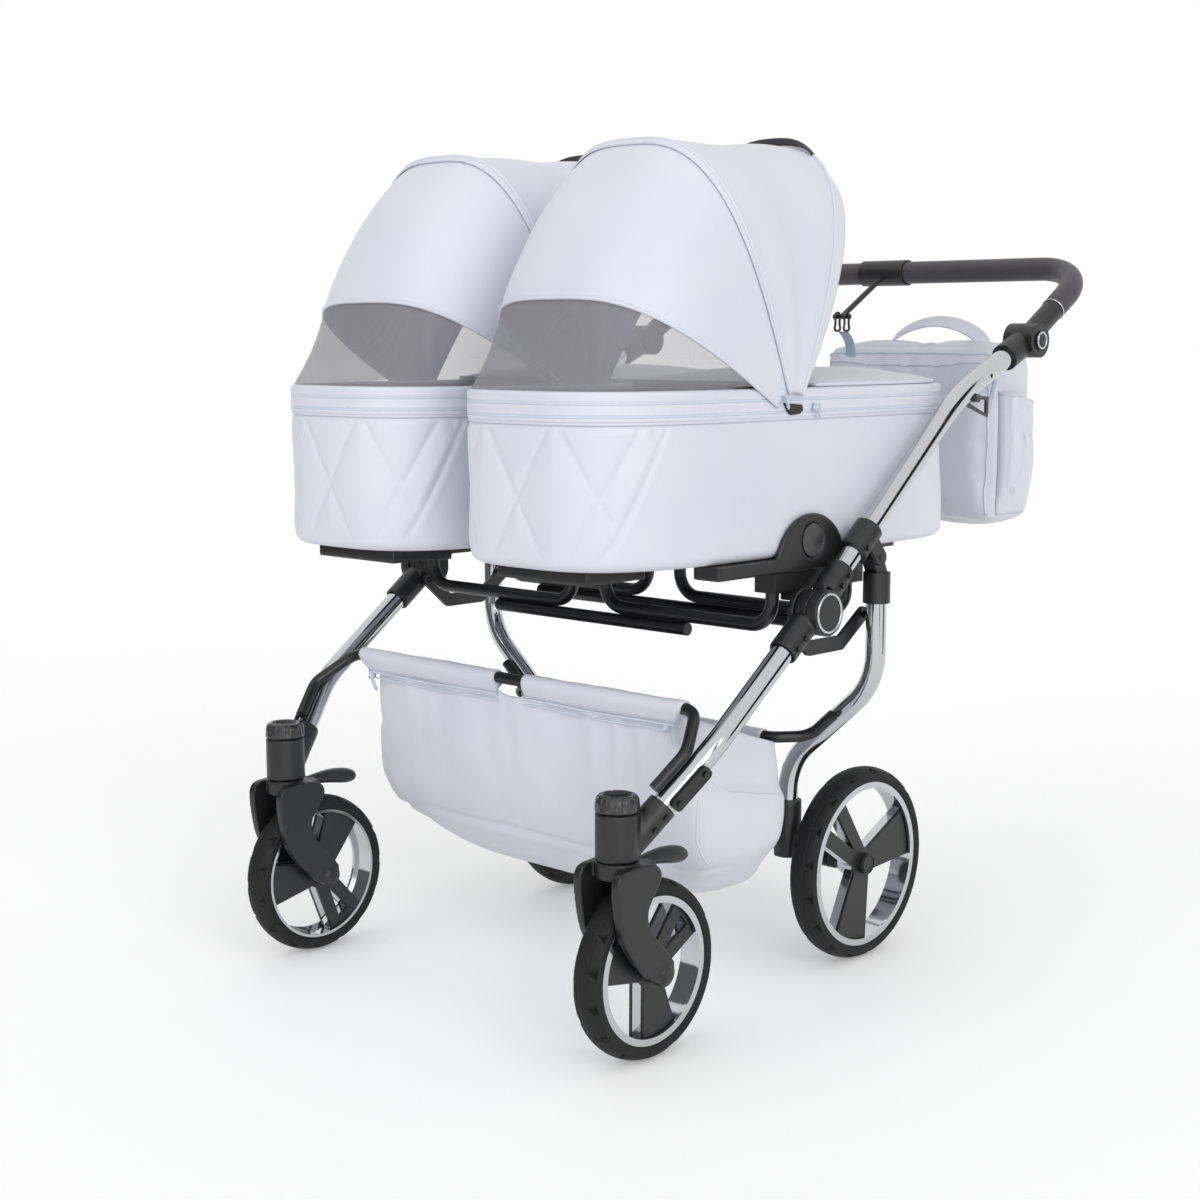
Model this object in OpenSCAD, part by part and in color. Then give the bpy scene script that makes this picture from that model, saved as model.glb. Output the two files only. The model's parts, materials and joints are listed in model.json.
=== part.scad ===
// Twin pram with two carrycots side by side, a folding chassis and a changing bag.
// Front faces -Y, the handle is at +Y, +Z is up, +X is the pusher's left.

/* [Wheels] */
// Outside diameter of a front tyre
front_wheel_d = 230; // [218:1:238]
// Outside diameter of a rear tyre
rear_wheel_d = 280; // [270:1:286]
// Width of every tyre
tyre_w = 42; // [34:1:43]
// Height of the tyre wall from rim to tread
tyre_t = 20; // [16:1:24]
// Radius of the tread's round crown
tread_r = 34; // [26:1:60]
// Width of the bright ring at the edge of a rim
rim_ring = 9; // [6:1:12]
// Thickness of the rim barrel
rim_t = 4; // [3:0.5:6]
// Diameter of a wheel hub
hub_d = 42; // [34:1:50]
// Length of a wheel hub
hub_l = 38; // [34:1:40]
// Diameter of the wheel axles
axle_d = 12; // [8:1:14]
// Thickness of the dark spoke cover
cover_t = 5; // [3:0.5:6]

/* [Chassis] */
// Distance of a main tube from the middle plane
frame_half = 376; // [372:1:390]
// Distance of a front wheel from the middle plane
front_half = 326; // [322:1:330]
// Distance of a rear wheel from the middle plane
rear_half = 280; // [274:1:282]
// Front axle ahead of the middle
front_reach = 435; // [425:1:450]
// Rear axle behind the middle
rear_reach = 80; // [70:1:95]
// Outside diameter of the main tubes
tube_d = 30; // [26:1:32]
// Outside diameter of the rear legs
leg_d = 28; // [24:1:30]
// Height of the fold hinge
hinge_z = 542; // [536:1:548]
// Fold hinge ahead of the middle
hinge_reach = 163; // [158:1:168]
// Radius of the fold hinge discs
hinge_r = 31; // [28:1:32]
// Slope of the upper tube
upper_slope = 39.5; // [38:0.5:41]
// Caster post ahead of the front axle
caster_trail = 50; // [44:1:56]
// Diameter of a caster housing
caster_d = 56; // [50:1:58]
// Height of a caster housing
caster_h = 60; // [54:1:66]
// Diameter of the swivel stem
stem_d = 18; // [14:1:20]
// Thickness of a fork arm
fork_t = 13; // [10:1:14]
// Thickness of the fold link
link_t = 6; // [4:0.5:7]

/* [Handle] */
// Height of the handle joint
joint_z = 892; // [886:1:898]
// Handle joint behind the middle
joint_reach = 346; // [340:1:352]
// Radius of a handle joint
joint_r = 25; // [22:1:27]
// Height of the handlebar
bar_z = 1002; // [994:1:1010]
// Handlebar behind the middle
bar_reach = 529; // [526:1:536]
// Diameter of the handlebar tube
bar_d = 24; // [20:1:26]
// Diameter of the padded grip
grip_d = 36; // [32:1:38]
// Radius of the handlebar's corners as a share of an arm's length
bar_bend_share = 0.4; // [0.33:0.01:0.45]
// Travel of a handle button
button_travel = 3; // [2:0.5:4]

/* [Carrier] */
// Diameter of the carrier tubes
carrier_d = 18; // [14:1:20]
// Height of the carrier tubes' low runs
carrier_z = 520; // [516:1:526]
// Front carrier ahead of the middle
carrier_front = 190; // [186:1:196]
// Rear carrier ahead of the middle
carrier_rear = 28; // [24:1:34]
// Height of the top of the cot sockets
socket_z = 592; // [588:1:594]

/* [Cot] */
// Distance of a cot's outer wall from the plane of the main tube
cot_tube_gap = 29; // [29:1:33]
// Distance of a cot's inner wall from the middle plane
cot_mid_gap = 14; // [13:1:20]
// Cot reach ahead of the middle
cot_front = 512; // [500:1:520]
// Cot reach behind the middle
cot_rear = 250; // [240:1:258]
// Height of the underside of a cot
cot_z = 612; // [610:1:614]
// Height of a cot from underside to rim
cot_h = 220; // [210:1:230]
// Thickness of a cot wall
cot_wall = 12; // [8:1:16]
// Height of the band below the rim
rim_band = 40; // [34:1:46]
// Thickness of the mattress
mattress_t = 45; // [35:1:60]
// Reach of the apron ahead of the middle
apron_front = 120; // [100:1:130]
// Rise of the apron's dome
apron_rise = 16; // [12:1:24]

/* [Hood] */
// Hood pivot ahead of the middle
hood_reach = 182; // [178:1:188]
// Height of the hood pivot over the cot's underside
hood_lift = 180; // [176:1:186]
// Height of the hood's front edge arch
hood_front_h = 310; // [300:1:318]
// Height of the hood's middle bow
hood_mid_h = 376; // [370:1:382]
// Height of the hood's rear bow
hood_rear_h = 406; // [400:1:412]
// Depth of the dip between the bows
hood_dip = 32; // [20:1:36]
// Thickness of the hood's cloth
hood_t = 3; // [2:0.5:3]
// Angle of the hood's front edge
hood_front_a = 150; // [146:1:153]
// Angle of the middle bow
hood_mid_a = 109; // [105:1:112]
// Angle of the rear bow
hood_rear_a = 64; // [61:1:68]

/* [Basket] */
// Height of the front rail
basket_front_z = 430; // [424:1:434]
// Front rail ahead of the middle
basket_front_y = 345; // [340:1:350]
// Height of the rear rail
basket_rear_z = 345; // [340:1:350]
// Rear rail ahead of the middle
basket_rear_y = 85; // [80:1:90]
// Diameter of the basket rails
rail_d = 16; // [12:1:18]
// Height of the basket's floor
basket_floor_z = 142; // [136:1:160]
// Thickness of the basket's cloth
basket_t = 4; // [3:0.5:5]

/* [Bag] */
// Width of the bag
bag_w = 352; // [330:1:360]
// Depth of the bag
bag_d = 118; // [100:1:122]
// Height of the bag
bag_h = 282; // [270:1:290]
// Height of the bag's underside
bag_z = 607; // [604:1:612]
// Front of the bag behind the middle
bag_reach = 431; // [428:1:436]
// Bag's right edge to the right of the middle
bag_right = 68; // [56:1:72]

/* [Hidden] */
$fn = 48;

// Clearances
fit = 0.2;
run = 0.3;
pin_fit = 0.05;
over = 1;
lap = 0.05;

// Colours
chrome = [0.82, 0.83, 0.85];
black = [0.09, 0.09, 0.1];
rubber = [0.05, 0.05, 0.05];
leather = [0.84, 0.87, 0.92];
grey = [0.55, 0.56, 0.58];

// Directions and small vector helpers
ex = [1, 0, 0];
ey = [0, 1, 0];
ez = [0, 0, 1];
steep_share = 0.9;
half_share = 0.5;
quarter_shares = [0.25, 0.5, 0.75];
function unit(v) = v / norm(v);
function helper(d) = abs(d[2]) < steep_share ? ez : ey;
function mix(a, b, k) = a + (b - a) * k;
function bent(a, b, c) = acos(max(-1, min(1, unit(b - a) * unit(c - b))));
function cutback(a, b, c, rad) = rad * tan(bent(a, b, c) / 2);
function square_off(v, d) = unit(v - d * (v * d));

// A frame at a point with its third axis along a direction
module aim(p, d) {
    x = unit(cross(helper(d), d));
    y = cross(d, x);
    multmatrix([[x[0], y[0], d[0], p[0]], [x[1], y[1], d[1], p[1]], [x[2], y[2], d[2], p[2]]]) children();
}

// A round rod between two points
module rod(p, q, r) {
    aim(p, unit(q - p)) cylinder(h = norm(q - p), r = r);
}

// A round bar along X between two places at one height
module bar_x(x0, x1, y, z, r) {
    translate([min(x0, x1), y, z]) rotate([0, 90, 0]) cylinder(h = abs(x1 - x0), r = r);
}

// One round bend of a pipe
module elbow(a, b, c, r, rad) {
    d0 = unit(b - a);
    d1 = unit(c - b);
    s = b - d0 * cutback(a, b, c, rad);
    u = square_off(d1, d0);
    m = s + u * rad;
    x = -u;
    z = cross(x, d0);
    multmatrix([[x[0], d0[0], z[0], m[0]], [x[1], d0[1], z[1], m[1]], [x[2], d0[2], z[2], m[2]]])
        rotate_extrude(angle = bent(a, b, c)) translate([rad, 0]) circle(r = r + lap);
}

// A round pipe through points with one bend radius, its straights lapped into its bends
module pipe(pts, r, rad) {
    n = len(pts);
    for (i = [0:n - 2]) {
        d = unit(pts[i + 1] - pts[i]);
        s = i == 0 ? 0 : cutback(pts[i - 1], pts[i], pts[i + 1], rad) - over;
        e = i == n - 2 ? 0 : cutback(pts[i], pts[i + 1], pts[i + 2], rad) - over;
        rod(pts[i] + d * s, pts[i + 1] - d * e, r);
    }
    for (i = [1:1:n - 2]) elbow(pts[i - 1], pts[i], pts[i + 1], r, rad);
}

// The left piece and its mirror image
module both() {
    children();
    mirror(ex) children();
}

// A closed solid through rings of equal count with flat ends
module loft(rings) {
    n = len(rings[0]);
    k = len(rings);
    pts = [for (r = rings) each r];
    walls = [for (i = [0:k - 2], j = [0:n - 1]) each [
        [i * n + j, (i + 1) * n + j, (i + 1) * n + (j + 1) % n],
        [i * n + j, (i + 1) * n + (j + 1) % n, i * n + (j + 1) % n]]];
    ends = [[for (j = [0:n - 1]) j], [for (j = [n - 1:-1:0]) (k - 1) * n + j]];
    polyhedron(points = pts, faces = concat(walls, ends));
}

// A closed shell whose rings run out along one skin and back along the other
module strip_loft(rings) {
    n = len(rings[0]);
    m = n / 2;
    k = len(rings);
    pts = [for (r = rings) each r];
    walls = [for (i = [0:k - 2], j = [0:n - 1]) each [
        [i * n + j, (i + 1) * n + j, (i + 1) * n + (j + 1) % n],
        [i * n + j, (i + 1) * n + (j + 1) % n, i * n + (j + 1) % n]]];
    first = [for (j = [0:m - 2]) each [[j, j + 1, n - 2 - j], [j, n - 2 - j, n - 1 - j]]];
    base = (k - 1) * n;
    last = [for (j = [0:m - 2]) each [
        [base + j, base + n - 2 - j, base + j + 1], [base + j, base + n - 1 - j, base + n - 2 - j]]];
    polyhedron(points = pts, faces = concat(walls, first, last));
}

function arc_x(t, p) = sign(cos(t)) * pow(abs(cos(t)), 2 / p);
function arc_y(t, p) = pow(abs(sin(t)), 2 / p);

// Width of a cot between the main tube and the middle plane
cot_x = (frame_half - cot_tube_gap + cot_mid_gap) / 2;
cot_half = (frame_half - cot_tube_gap - cot_mid_gap) / 2;

// Places of the chassis
front_r = front_wheel_d / 2;
rear_r = rear_wheel_d / 2;
front_axle = [front_half, -front_reach, front_r];
rear_axle_at = [rear_half, rear_reach, rear_r];
post_y = -front_reach - caster_trail;
crown_gap = 12;
crown_h = 22;
crown_z = front_wheel_d + crown_gap;
housing_z = crown_z + crown_h + run;
housing_top = housing_z + caster_h;
hinge = [frame_half, -hinge_reach, hinge_z];
upper_d = [0, cos(upper_slope), sin(upper_slope)];
upper_knee_reach = 328;
upper_knee = hinge + upper_d * (upper_knee_reach / cos(upper_slope));
joint = [frame_half, joint_reach, joint_z];
joint_d = unit(joint - upper_knee);
corner = [frame_half, bar_reach, bar_z];
neck_d = unit(corner - joint);
neck_run = norm(corner - joint);
bar_bend = neck_run * bar_bend_share;
knee_ahead = 202;
knee_drop = 151;
front_knee = hinge + [0, -knee_ahead, -knee_drop];
lower_d = unit(front_knee - hinge);
sleeve_up = 3.3;
sleeve_from = [front_half, post_y, housing_z + sleeve_up];
sleeve_d = unit(front_knee - sleeve_from);
sleeve_l = 86;
sleeve_wall = 5;
sleeve_level = norm([sleeve_d[0], sleeve_d[1]]);
seat_l = 36;
tube_start = sleeve_from + sleeve_d * (sleeve_l - seat_l);
sleeve_end = sleeve_from + sleeve_d * sleeve_l;
tube_r = tube_d / 2;
leg_r = leg_d / 2;
sleeve_root = ((tube_r + sleeve_wall) * sleeve_level - sleeve_up) / sleeve_d[2] + run;
front_bend = 140;
upper_bend = 420;
hinge_seat = 44;
hinge_sleeve = 80;

// Fold hinge layers across the tube plane
tongue_half = 9.7;
tongue_inset = 2;
tongue_r = hinge_r - tongue_inset;
hinge_outer = 28;
hinge_inner = 19;
hinge_out = frame_half + hinge_outer;
hinge_in = frame_half - hinge_inner;
hinge_pin_d = 12;
cap_ring = 4;
cap_step = 2;

// Leg pivot under the upper tube and the link pivots
pivot_back = 131;
pivot_up = 61;
leg_offset = 12;
link_front = 19;
link_below = 18;
link_end_drop = 20;
leg_pivot = [frame_half, hinge[1] + pivot_back, hinge_z + pivot_up];
leg_plane_y = leg_pivot[1] + leg_offset;
link_pivot = [frame_half, hinge[1] - link_front, hinge_z - link_below];
link_end_z = hinge_z - link_end_drop;
link_end = [frame_half, leg_plane_y, link_end_z];
link_x = frame_half - max(hinge_inner, tube_r + sleeve_wall) - run - link_t;
leg_inset = 50;
leg_low_x = rear_half - leg_inset;
leg_top_drop = 26;
leg_top_z = leg_pivot[2] - leg_top_drop;
leg_bend_high = 428;
leg_bend_low = 297;
foot_rise = 40;
leg_foot_z = rear_r + foot_rise;
leg_bend = 95;

// Clamp, fitting and bracket sizes
clamp_l = 46;
clamp_wall = 5;
cheek_t = 6;
cheek_r = 11;
pivot_d = 8;
fitting_wall = 4.5;
fitting_h = 42;
bracket_r = 20;
bracket_h = 84;
bracket_t = 22;
boss_r = 17;

// Wheel, as built around its own centre with the outside at +X
module tyre(d) {
    color(rubber) rotate([0, 90, 0]) rotate_extrude() intersection() {
        translate([d / 2 - tyre_t, -tyre_w / 2]) square([tyre_t, tyre_w]);
        translate([d / 2 - tread_r, 0]) circle(r = tread_r);
    }
}

spoke_root_share = 0.34;
spoke_tip_share = 0.27;
spoke_bar_share = 0.09;
spoke_t = 14;
rim_margin = 3;
function spoke_outline(r, root, tip) = [[0, -root / 2], [r, -tip / 2], [r, tip / 2], [0, root / 2]];

module rim(d, through) {
    seat = d / 2 - tyre_t - fit;
    well = seat - rim_t;
    root = hub_d * spoke_root_share * 2;
    tip = d * spoke_tip_share;
    bar = d * spoke_bar_share;
    face = tyre_w / 2 - rim_margin;
    cover_x = spoke_t / 2 + fit;
    color(chrome) rotate([0, 90, 0]) difference() {
        union() {
            rotate_extrude() {
                translate([well, -face]) square([rim_t, 2 * face]);
                translate([seat - rim_ring, face - rim_t]) square([rim_ring, rim_t]);
            }
            back = through ? spoke_t / 2 : hub_l / 2;
            translate([0, 0, -back]) cylinder(h = back + spoke_t / 2, d = hub_d);
            for (i = [0:2]) rotate(i * 120) translate([0, 0, -spoke_t / 2])
                linear_extrude(height = spoke_t) intersection() {
                    polygon(spoke_outline(well + rim_t / 2, root, tip));
                    circle(r = well + rim_t / 2);
                }
        }
        translate([0, 0, -hub_l]) cylinder(h = 2 * hub_l, d = axle_d + 2 * pin_fit);
        linear_extrude(height = 2 * spoke_t, center = true) valve_gap(well, root, tip, bar);
    }
    color(black) for (s = through ? [0, 1] : [0]) mirror([s, 0, 0]) translate([cover_x, 0, 0])
        rotate([0, 90, 0]) difference() {
        union() {
            linear_extrude(height = cover_t) intersection() {
                circle(r = well - run);
                union() {
                    circle(d = hub_d + cap_ring);
                    for (i = [0:2]) rotate(i * 120) polygon(spoke_outline(well, root, tip));
                }
            }
            cylinder(h = hub_l / 2 - cover_x + cap_step, d = hub_d * hub_cap_share);
        }
        translate([0, 0, -over]) cylinder(h = hub_l / 2 - cover_x + (through ? hub_l : over),
            d = axle_d + 2 * pin_fit);
        translate([0, 0, -over]) linear_extrude(height = cover_t + 2 * over) valve_gap(well, root, tip,
            bar);
    }
}
hub_cap_share = 0.72;

// The open middle of the one split spoke, where the valve is reached
module valve_gap(well, root, tip, bar) {
    gap_from = hub_d * valve_from_share;
    polygon([[gap_from, 0], [well - bar / 2, -tip / 2 + bar], [well - bar / 2, tip / 2 - bar]]);
}
valve_from_share = 0.75;

front_turn = 130;
far_turn = 32;
rear_turn = 225;
module front_tyre_left() translate(front_axle) tyre(front_wheel_d);
module front_tyre_right() mirror(ex) front_tyre_left();
module front_rim(turn) translate(front_axle) rotate([turn, 0, 0]) rim(front_wheel_d, true);
module front_rim_left() front_rim(front_turn);
module front_rim_right() mirror(ex) front_rim(far_turn);
module rear_tyre_left() translate(rear_axle_at) tyre(rear_wheel_d);
module rear_tyre_right() mirror(ex) rear_tyre_left();
module rear_rim_left() translate(rear_axle_at) rotate([rear_turn, 0, 0]) rim(rear_wheel_d, false);
module rear_rim_right() mirror(ex) rear_rim_left();

// Caster fork with its stem, arms, lever lugs and wheel bolt
arm_gap = 4;
arm_in = tyre_w / 2 + arm_gap;
arm_out = arm_in + fork_t;
tip_r = 17;
saddle_l = 37;
saddle_inset = 6;
saddle_drop = 3;
lug_back = 24;
arm_steps = 4;
arm_shares = [[-0.1, -0.055], [-0.27, 0.07], [-0.43, 0.24], [-0.53, 0.42], [-0.575, 0.6], [-0.6, 0.78],
    [-0.595, 0.89], [-0.54, 0.96], [-0.4, 0.98], [-0.2, 0.98], [-0.085, 0.935], [-0.055, 0.85],
    [-0.11, 0.74], [-0.19, 0.64], [-0.22, 0.54], [-0.18, 0.42], [-0.07, 0.29], [0.05, 0.16],
    [0.105, 0.045]];
function spline(a, b, c, d, t) = (2 * b + (c - a) * t + (2 * a - 5 * b + 4 * c - d) * t * t + (3 * b - a - 3 *
    c + d) * t * t * t) / 2;
function smooth_loop(v, steps) = let (n = len(v)) [for (i = [0:n - 1]) for (j = [0:steps - 1])
    spline(v[(i + n - 1) % n], v[i], v[(i + 1) % n], v[(i + 2) % n], j / steps)];
crown_r = caster_d / 2;
lever_gap = 12;
lever_room = 2;
lever_y = post_y + crown_r + lever_gap;
lever_z = crown_z + crown_h / 2;
lever_half = 10;
lever_eye = 8.5;
lever_lug = 6;
lever_pin_d = 6;
bolt_head_d = 20;
bolt_head_t = 4;
stem_short = 14;
stem_l = caster_h - stem_short;

module knob_x(y, z, r, x0, x1) bar_x(x0, x1, y, z, r);

// One swept arm, drawn from its side as shares of the drop from the crown to the axle
module fork_side(x0, x1) {
    drop = crown_z + crown_h - front_r;
    translate([x0, -front_reach, front_r]) rotate([90, 0, 90]) linear_extrude(height = x1 - x0)
        union() {
        polygon(drop * smooth_loop(arm_shares, arm_steps));
        circle(r = tip_r);
    }
}

module fork_left() {
    axle_r = axle_d / 2;
    color(black) difference() {
        union() {
            translate([front_half, post_y, crown_z]) cylinder(h = crown_h, d = caster_d);
            translate([front_half, post_y, crown_z]) cylinder(h = crown_h + stem_l, d = stem_d);
            translate([front_half - arm_out + saddle_inset, post_y, crown_z])
                cube([2 * (arm_out - saddle_inset), saddle_l, crown_h - saddle_drop]);
            fork_side(front_half - arm_out, front_half - arm_in);
            fork_side(front_half + arm_in, front_half + arm_out);
            for (s = [-1, 1]) hull() {
                x0 = front_half + s * (lever_half + run);
                x1 = front_half + s * (lever_half + run + lever_lug);
                knob_x(lever_y, lever_z, lever_eye, x0, x1);
                knob_x(post_y + lug_back, lever_z, lever_eye, x0, x1);
            }
            bar_x(front_half - lever_half - lever_lug, front_half + lever_half + lever_lug, lever_y,
                lever_z, lever_pin_d / 2);
        }
        difference() {
            bar_x(front_half - lever_half - run, front_half + lever_half + run, lever_y, lever_z,
                lever_eye + lever_room);
            bar_x(front_half - lever_half - over, front_half + lever_half + over, lever_y, lever_z,
                lever_pin_d / 2);
        }
        bar_x(front_half - arm_out - over, front_half + arm_out + over, -front_reach, front_r, axle_r +
            fit);
    }
    color(chrome) union() {
        bar_x(front_half - arm_out - bolt_head_t, front_half + arm_out + bolt_head_t, -front_reach,
            front_r, axle_r);
        for (s = [-1, 1]) {
            x0 = front_half + s * (arm_out + fit);
            bar_x(x0, x0 + s * bolt_head_t, -front_reach, front_r, bolt_head_d / 2);
        }
    }
}
module fork_right() mirror(ex) fork_left();

// Swivel lock lever behind the crown
lever_l = 88;
lever_w = 28;
lever_h = 16;
lever_neck = 14;
lever_tip_drop = -2;
module lock_lever_left() {
    color(black) difference() {
        union() {
            bar_x(front_half - lever_half, front_half + lever_half, lever_y, lever_z, lever_eye);
            hull() {
                bar_x(front_half - lever_half, front_half + lever_half, lever_y, lever_z, lever_eye);
                translate([front_half, lever_y + lever_eye + lever_neck, lever_z - lever_h / 2])
                    cylinder(h = lever_h, r = lever_half);
            }
            hull() {
                translate([front_half, lever_y + lever_eye + lever_neck, lever_z - lever_h / 2])
                    cylinder(h = lever_h, r = lever_half);
                translate([front_half, lever_y + lever_l - lever_w / 2, lever_z - lever_h / 2 -
                    lever_tip_drop])
                    cylinder(h = lever_h, d = lever_w);
            }
        }
        bar_x(front_half - lever_w, front_half + lever_w, lever_y, lever_z, lever_pin_d / 2 + pin_fit);
    }
}
module lock_lever_right() mirror(ex) lock_lever_left();

// Caster housing with the sleeve that takes the front tube
plunger_d = 22;
plunger_l = 9;
module caster_housing() {
    difference() {
        union() {
            translate([front_half, post_y, housing_z]) cylinder(h = caster_h, d = caster_d);
            rod(sleeve_from + sleeve_d * sleeve_root, sleeve_end, tube_r + sleeve_wall);
        }
        rod(tube_start, sleeve_from + sleeve_d * (sleeve_l + over), tube_r + fit);
        translate([front_half, post_y, housing_z - over]) cylinder(h = stem_l + 2 * over, d = stem_d +
            2 * pin_fit);
        translate([front_half, post_y, housing_top - plunger_l]) cylinder(h = plunger_l + over,
            d = plunger_d + 2 * run);
        translate([front_half, post_y, housing_top]) cylinder(h = cap_h, d = caster_d + 2 * cap_relief);
    }
}
module caster_housings() {
    color(black) both() caster_housing();
}

// Release cap over a caster post
cap_travel = 2;
cap_relief = 1.5;
cap_h = 20;
cap_edge = 6;
module release_cap_left() {
    gap = cap_travel + run;
    color(grey) translate([front_half, post_y, housing_top + gap]) union() {
        rotate_extrude() {
            square([caster_d / 2 - cap_edge, cap_h]);
            square([caster_d / 2, cap_h - cap_edge]);
            translate([caster_d / 2 - cap_edge, cap_h - cap_edge]) intersection() {
                circle(r = cap_edge);
                square(cap_edge);
            }
        }
        translate([0, 0, cap_travel + run - plunger_l]) cylinder(h = plunger_l - cap_travel,
            d = plunger_d);
    }
}
module release_cap_right() mirror(ex) release_cap_left();

// Front tubes from the caster sleeves to the fold hinge
module front_tubes() {
    color(chrome) both() pipe([tube_start, front_knee, hinge + lower_d * hinge_seat], tube_r,
        front_bend);
}

// Fold hinge, lower half: two discs, a sleeve, the pins and the carrier lug
lug_half = 13;
lug_in = 26;
lug_drop = 12;
socket_h = 26;
module hinge_base() {
    difference() {
        union() {
            bar_x(frame_half + tongue_half + run, hinge_out, hinge[1], hinge_z, hinge_r);
            bar_x(hinge_in, frame_half - tongue_half - run, hinge[1], hinge_z, hinge_r);
            rod(hinge, hinge + lower_d * hinge_sleeve, tube_r + sleeve_wall);
            translate([hinge_in - lug_in, hinge[1] - lug_half, socket_z - socket_h - lug_drop])
                cube([lug_in + tongue_half, 2 * lug_half, lug_drop]);
            bar_x(link_x - run, hinge_in + run, link_pivot[1], link_pivot[2], pivot_d / 2);
        }
        bar_x(frame_half - tongue_half - run, frame_half + tongue_half + run, hinge[1], hinge_z,
            tongue_r + run);
        rod(hinge + lower_d * hinge_seat, hinge + lower_d * (hinge_sleeve + over), tube_r + fit);
        bar_x(hinge_out - cap_step, hinge_out + over, hinge[1], hinge_z, hinge_r - cap_ring);
    }
    bar_x(hinge_in + over, hinge_out - over, hinge[1], hinge_z, hinge_pin_d / 2);
    bar_x(hinge_out - cap_step, hinge_out, hinge[1], hinge_z, hinge_r - 2 * cap_ring);
}
module hinge_bases() {
    color(black) both() hinge_base();
}

// Fold hinge, upper half: the tongue and the sleeve of the upper tube
tongue_neck = hinge_r + 2 * over;
tongue_neck_half = tongue_half - fit;
tongue_neck_w = 32;
module hinge_tongue() {
    difference() {
        union() {
            bar_x(frame_half - tongue_half, frame_half + tongue_half, hinge[1], hinge_z, tongue_r);
            rod(hinge + upper_d * tongue_neck, hinge + upper_d * hinge_sleeve, tube_r + sleeve_wall);
            translate(hinge) rotate([upper_slope, 0, 0])
                translate([-tongue_neck_half, 0, -tongue_neck_w / 2])
                    cube([2 * tongue_neck_half, tongue_neck + over, tongue_neck_w]);
        }
        rod(hinge + upper_d * hinge_seat, hinge + upper_d * (hinge_sleeve + over), tube_r + fit);
        bar_x(hinge_in - over, hinge_out + over, hinge[1], hinge_z, hinge_pin_d / 2 + pin_fit);
    }
}
module hinge_tongues() {
    color(black) both() hinge_tongue();
}

// Upper tubes with the cross hole for accessories
hole_d = 6;
hole_back = 62;
joint_seat = 26;
joint_sleeve = 62;
hole_at = joint - joint_d * (joint_sleeve + hole_back);
module upper_tubes() {
    color(chrome) both() difference() {
        pipe([hinge + upper_d * hinge_seat, upper_knee, joint - joint_d * joint_seat], tube_r,
            upper_bend);
        bar_x(frame_half - tube_d, frame_half + tube_d, hole_at[1], hole_at[2], hole_d / 2);
    }
}

// Clamps that carry the rear legs on the upper tubes
clamp_skin = 1.2;
clamp_flat = frame_half - tube_r - clamp_skin;
module leg_clamp() {
    on_tube = hinge + upper_d * ((leg_pivot - hinge) * upper_d);
    low = on_tube - upper_d * clamp_l * clamp_low_share;
    difference() {
        union() {
            rod(low, low + upper_d * clamp_l, tube_r + clamp_wall);
            for (s = [-1, 1]) hull() {
                x0 = frame_half + s * (tongue_half + run);
                x1 = frame_half + s * (tongue_half + run + cheek_t);
                knob_x(leg_pivot[1], leg_pivot[2], cheek_r, x0, x1);
                knob_x(on_tube[1], on_tube[2], cheek_r, x0, x1);
            }
        }
        rod(low - upper_d * over, low + upper_d * (clamp_l + over), tube_r + fit);
        translate([clamp_flat - tube_d, on_tube[1] - clamp_l, on_tube[2] - clamp_l * 2]) cube([tube_d,
            2 * clamp_l, 4 * clamp_l]);
    }
    bar_x(frame_half - tongue_half - cheek_t, frame_half + tongue_half + cheek_t + cap_step,
        leg_pivot[1], leg_pivot[2], pivot_d / 2);
}
clamp_low_share = 0.62;
module leg_clamps() {
    color(black) both() leg_clamp();
}

// Rear legs, bent in the plane across the pram
module rear_legs() {
    color(chrome) both() pipe([[frame_half, leg_plane_y, leg_top_z], [frame_half, leg_plane_y,
        leg_bend_high],
        [leg_low_x, leg_plane_y, leg_bend_low], [leg_low_x, leg_plane_y, leg_foot_z]], leg_r, leg_bend);
}

// Fittings on the tops of the rear legs
link_eye_gap = 2.2;
module leg_fitting() {
    difference() {
        union() {
            translate([frame_half, leg_plane_y, leg_top_z - fitting_h + fitting_wall])
                cylinder(h = fitting_h, r = leg_r + fitting_wall);
            intersection() {
                hull() {
                    knob_x(leg_pivot[1], leg_pivot[2], cheek_r, frame_half - tongue_half, frame_half +
                        tongue_half);
                    translate([frame_half - tongue_half, leg_plane_y - cheek_r, leg_top_z])
                        cube([2 * tongue_half, 2 * cheek_r, fitting_wall]);
                }
                translate([frame_half - tongue_half, leg_plane_y - fitting_h, leg_top_z -
                    fitting_wall]) cube([2 * tongue_half, 2 * fitting_h, 2 * fitting_h]);
            }
            bar_x(link_x - cap_step, frame_half, link_end[1], link_end[2], pivot_d / 2);
        }
        translate([frame_half, leg_plane_y, leg_top_z - 2 * fitting_h]) cylinder(h = 2 * fitting_h,
            r = leg_r + fit);
        bar_x(frame_half - tube_d, frame_half + tube_d, leg_pivot[1], leg_pivot[2], pivot_d / 2 +
            pin_fit);
    }
}
module leg_fittings() {
    color(black) both() leg_fitting();
}

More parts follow.
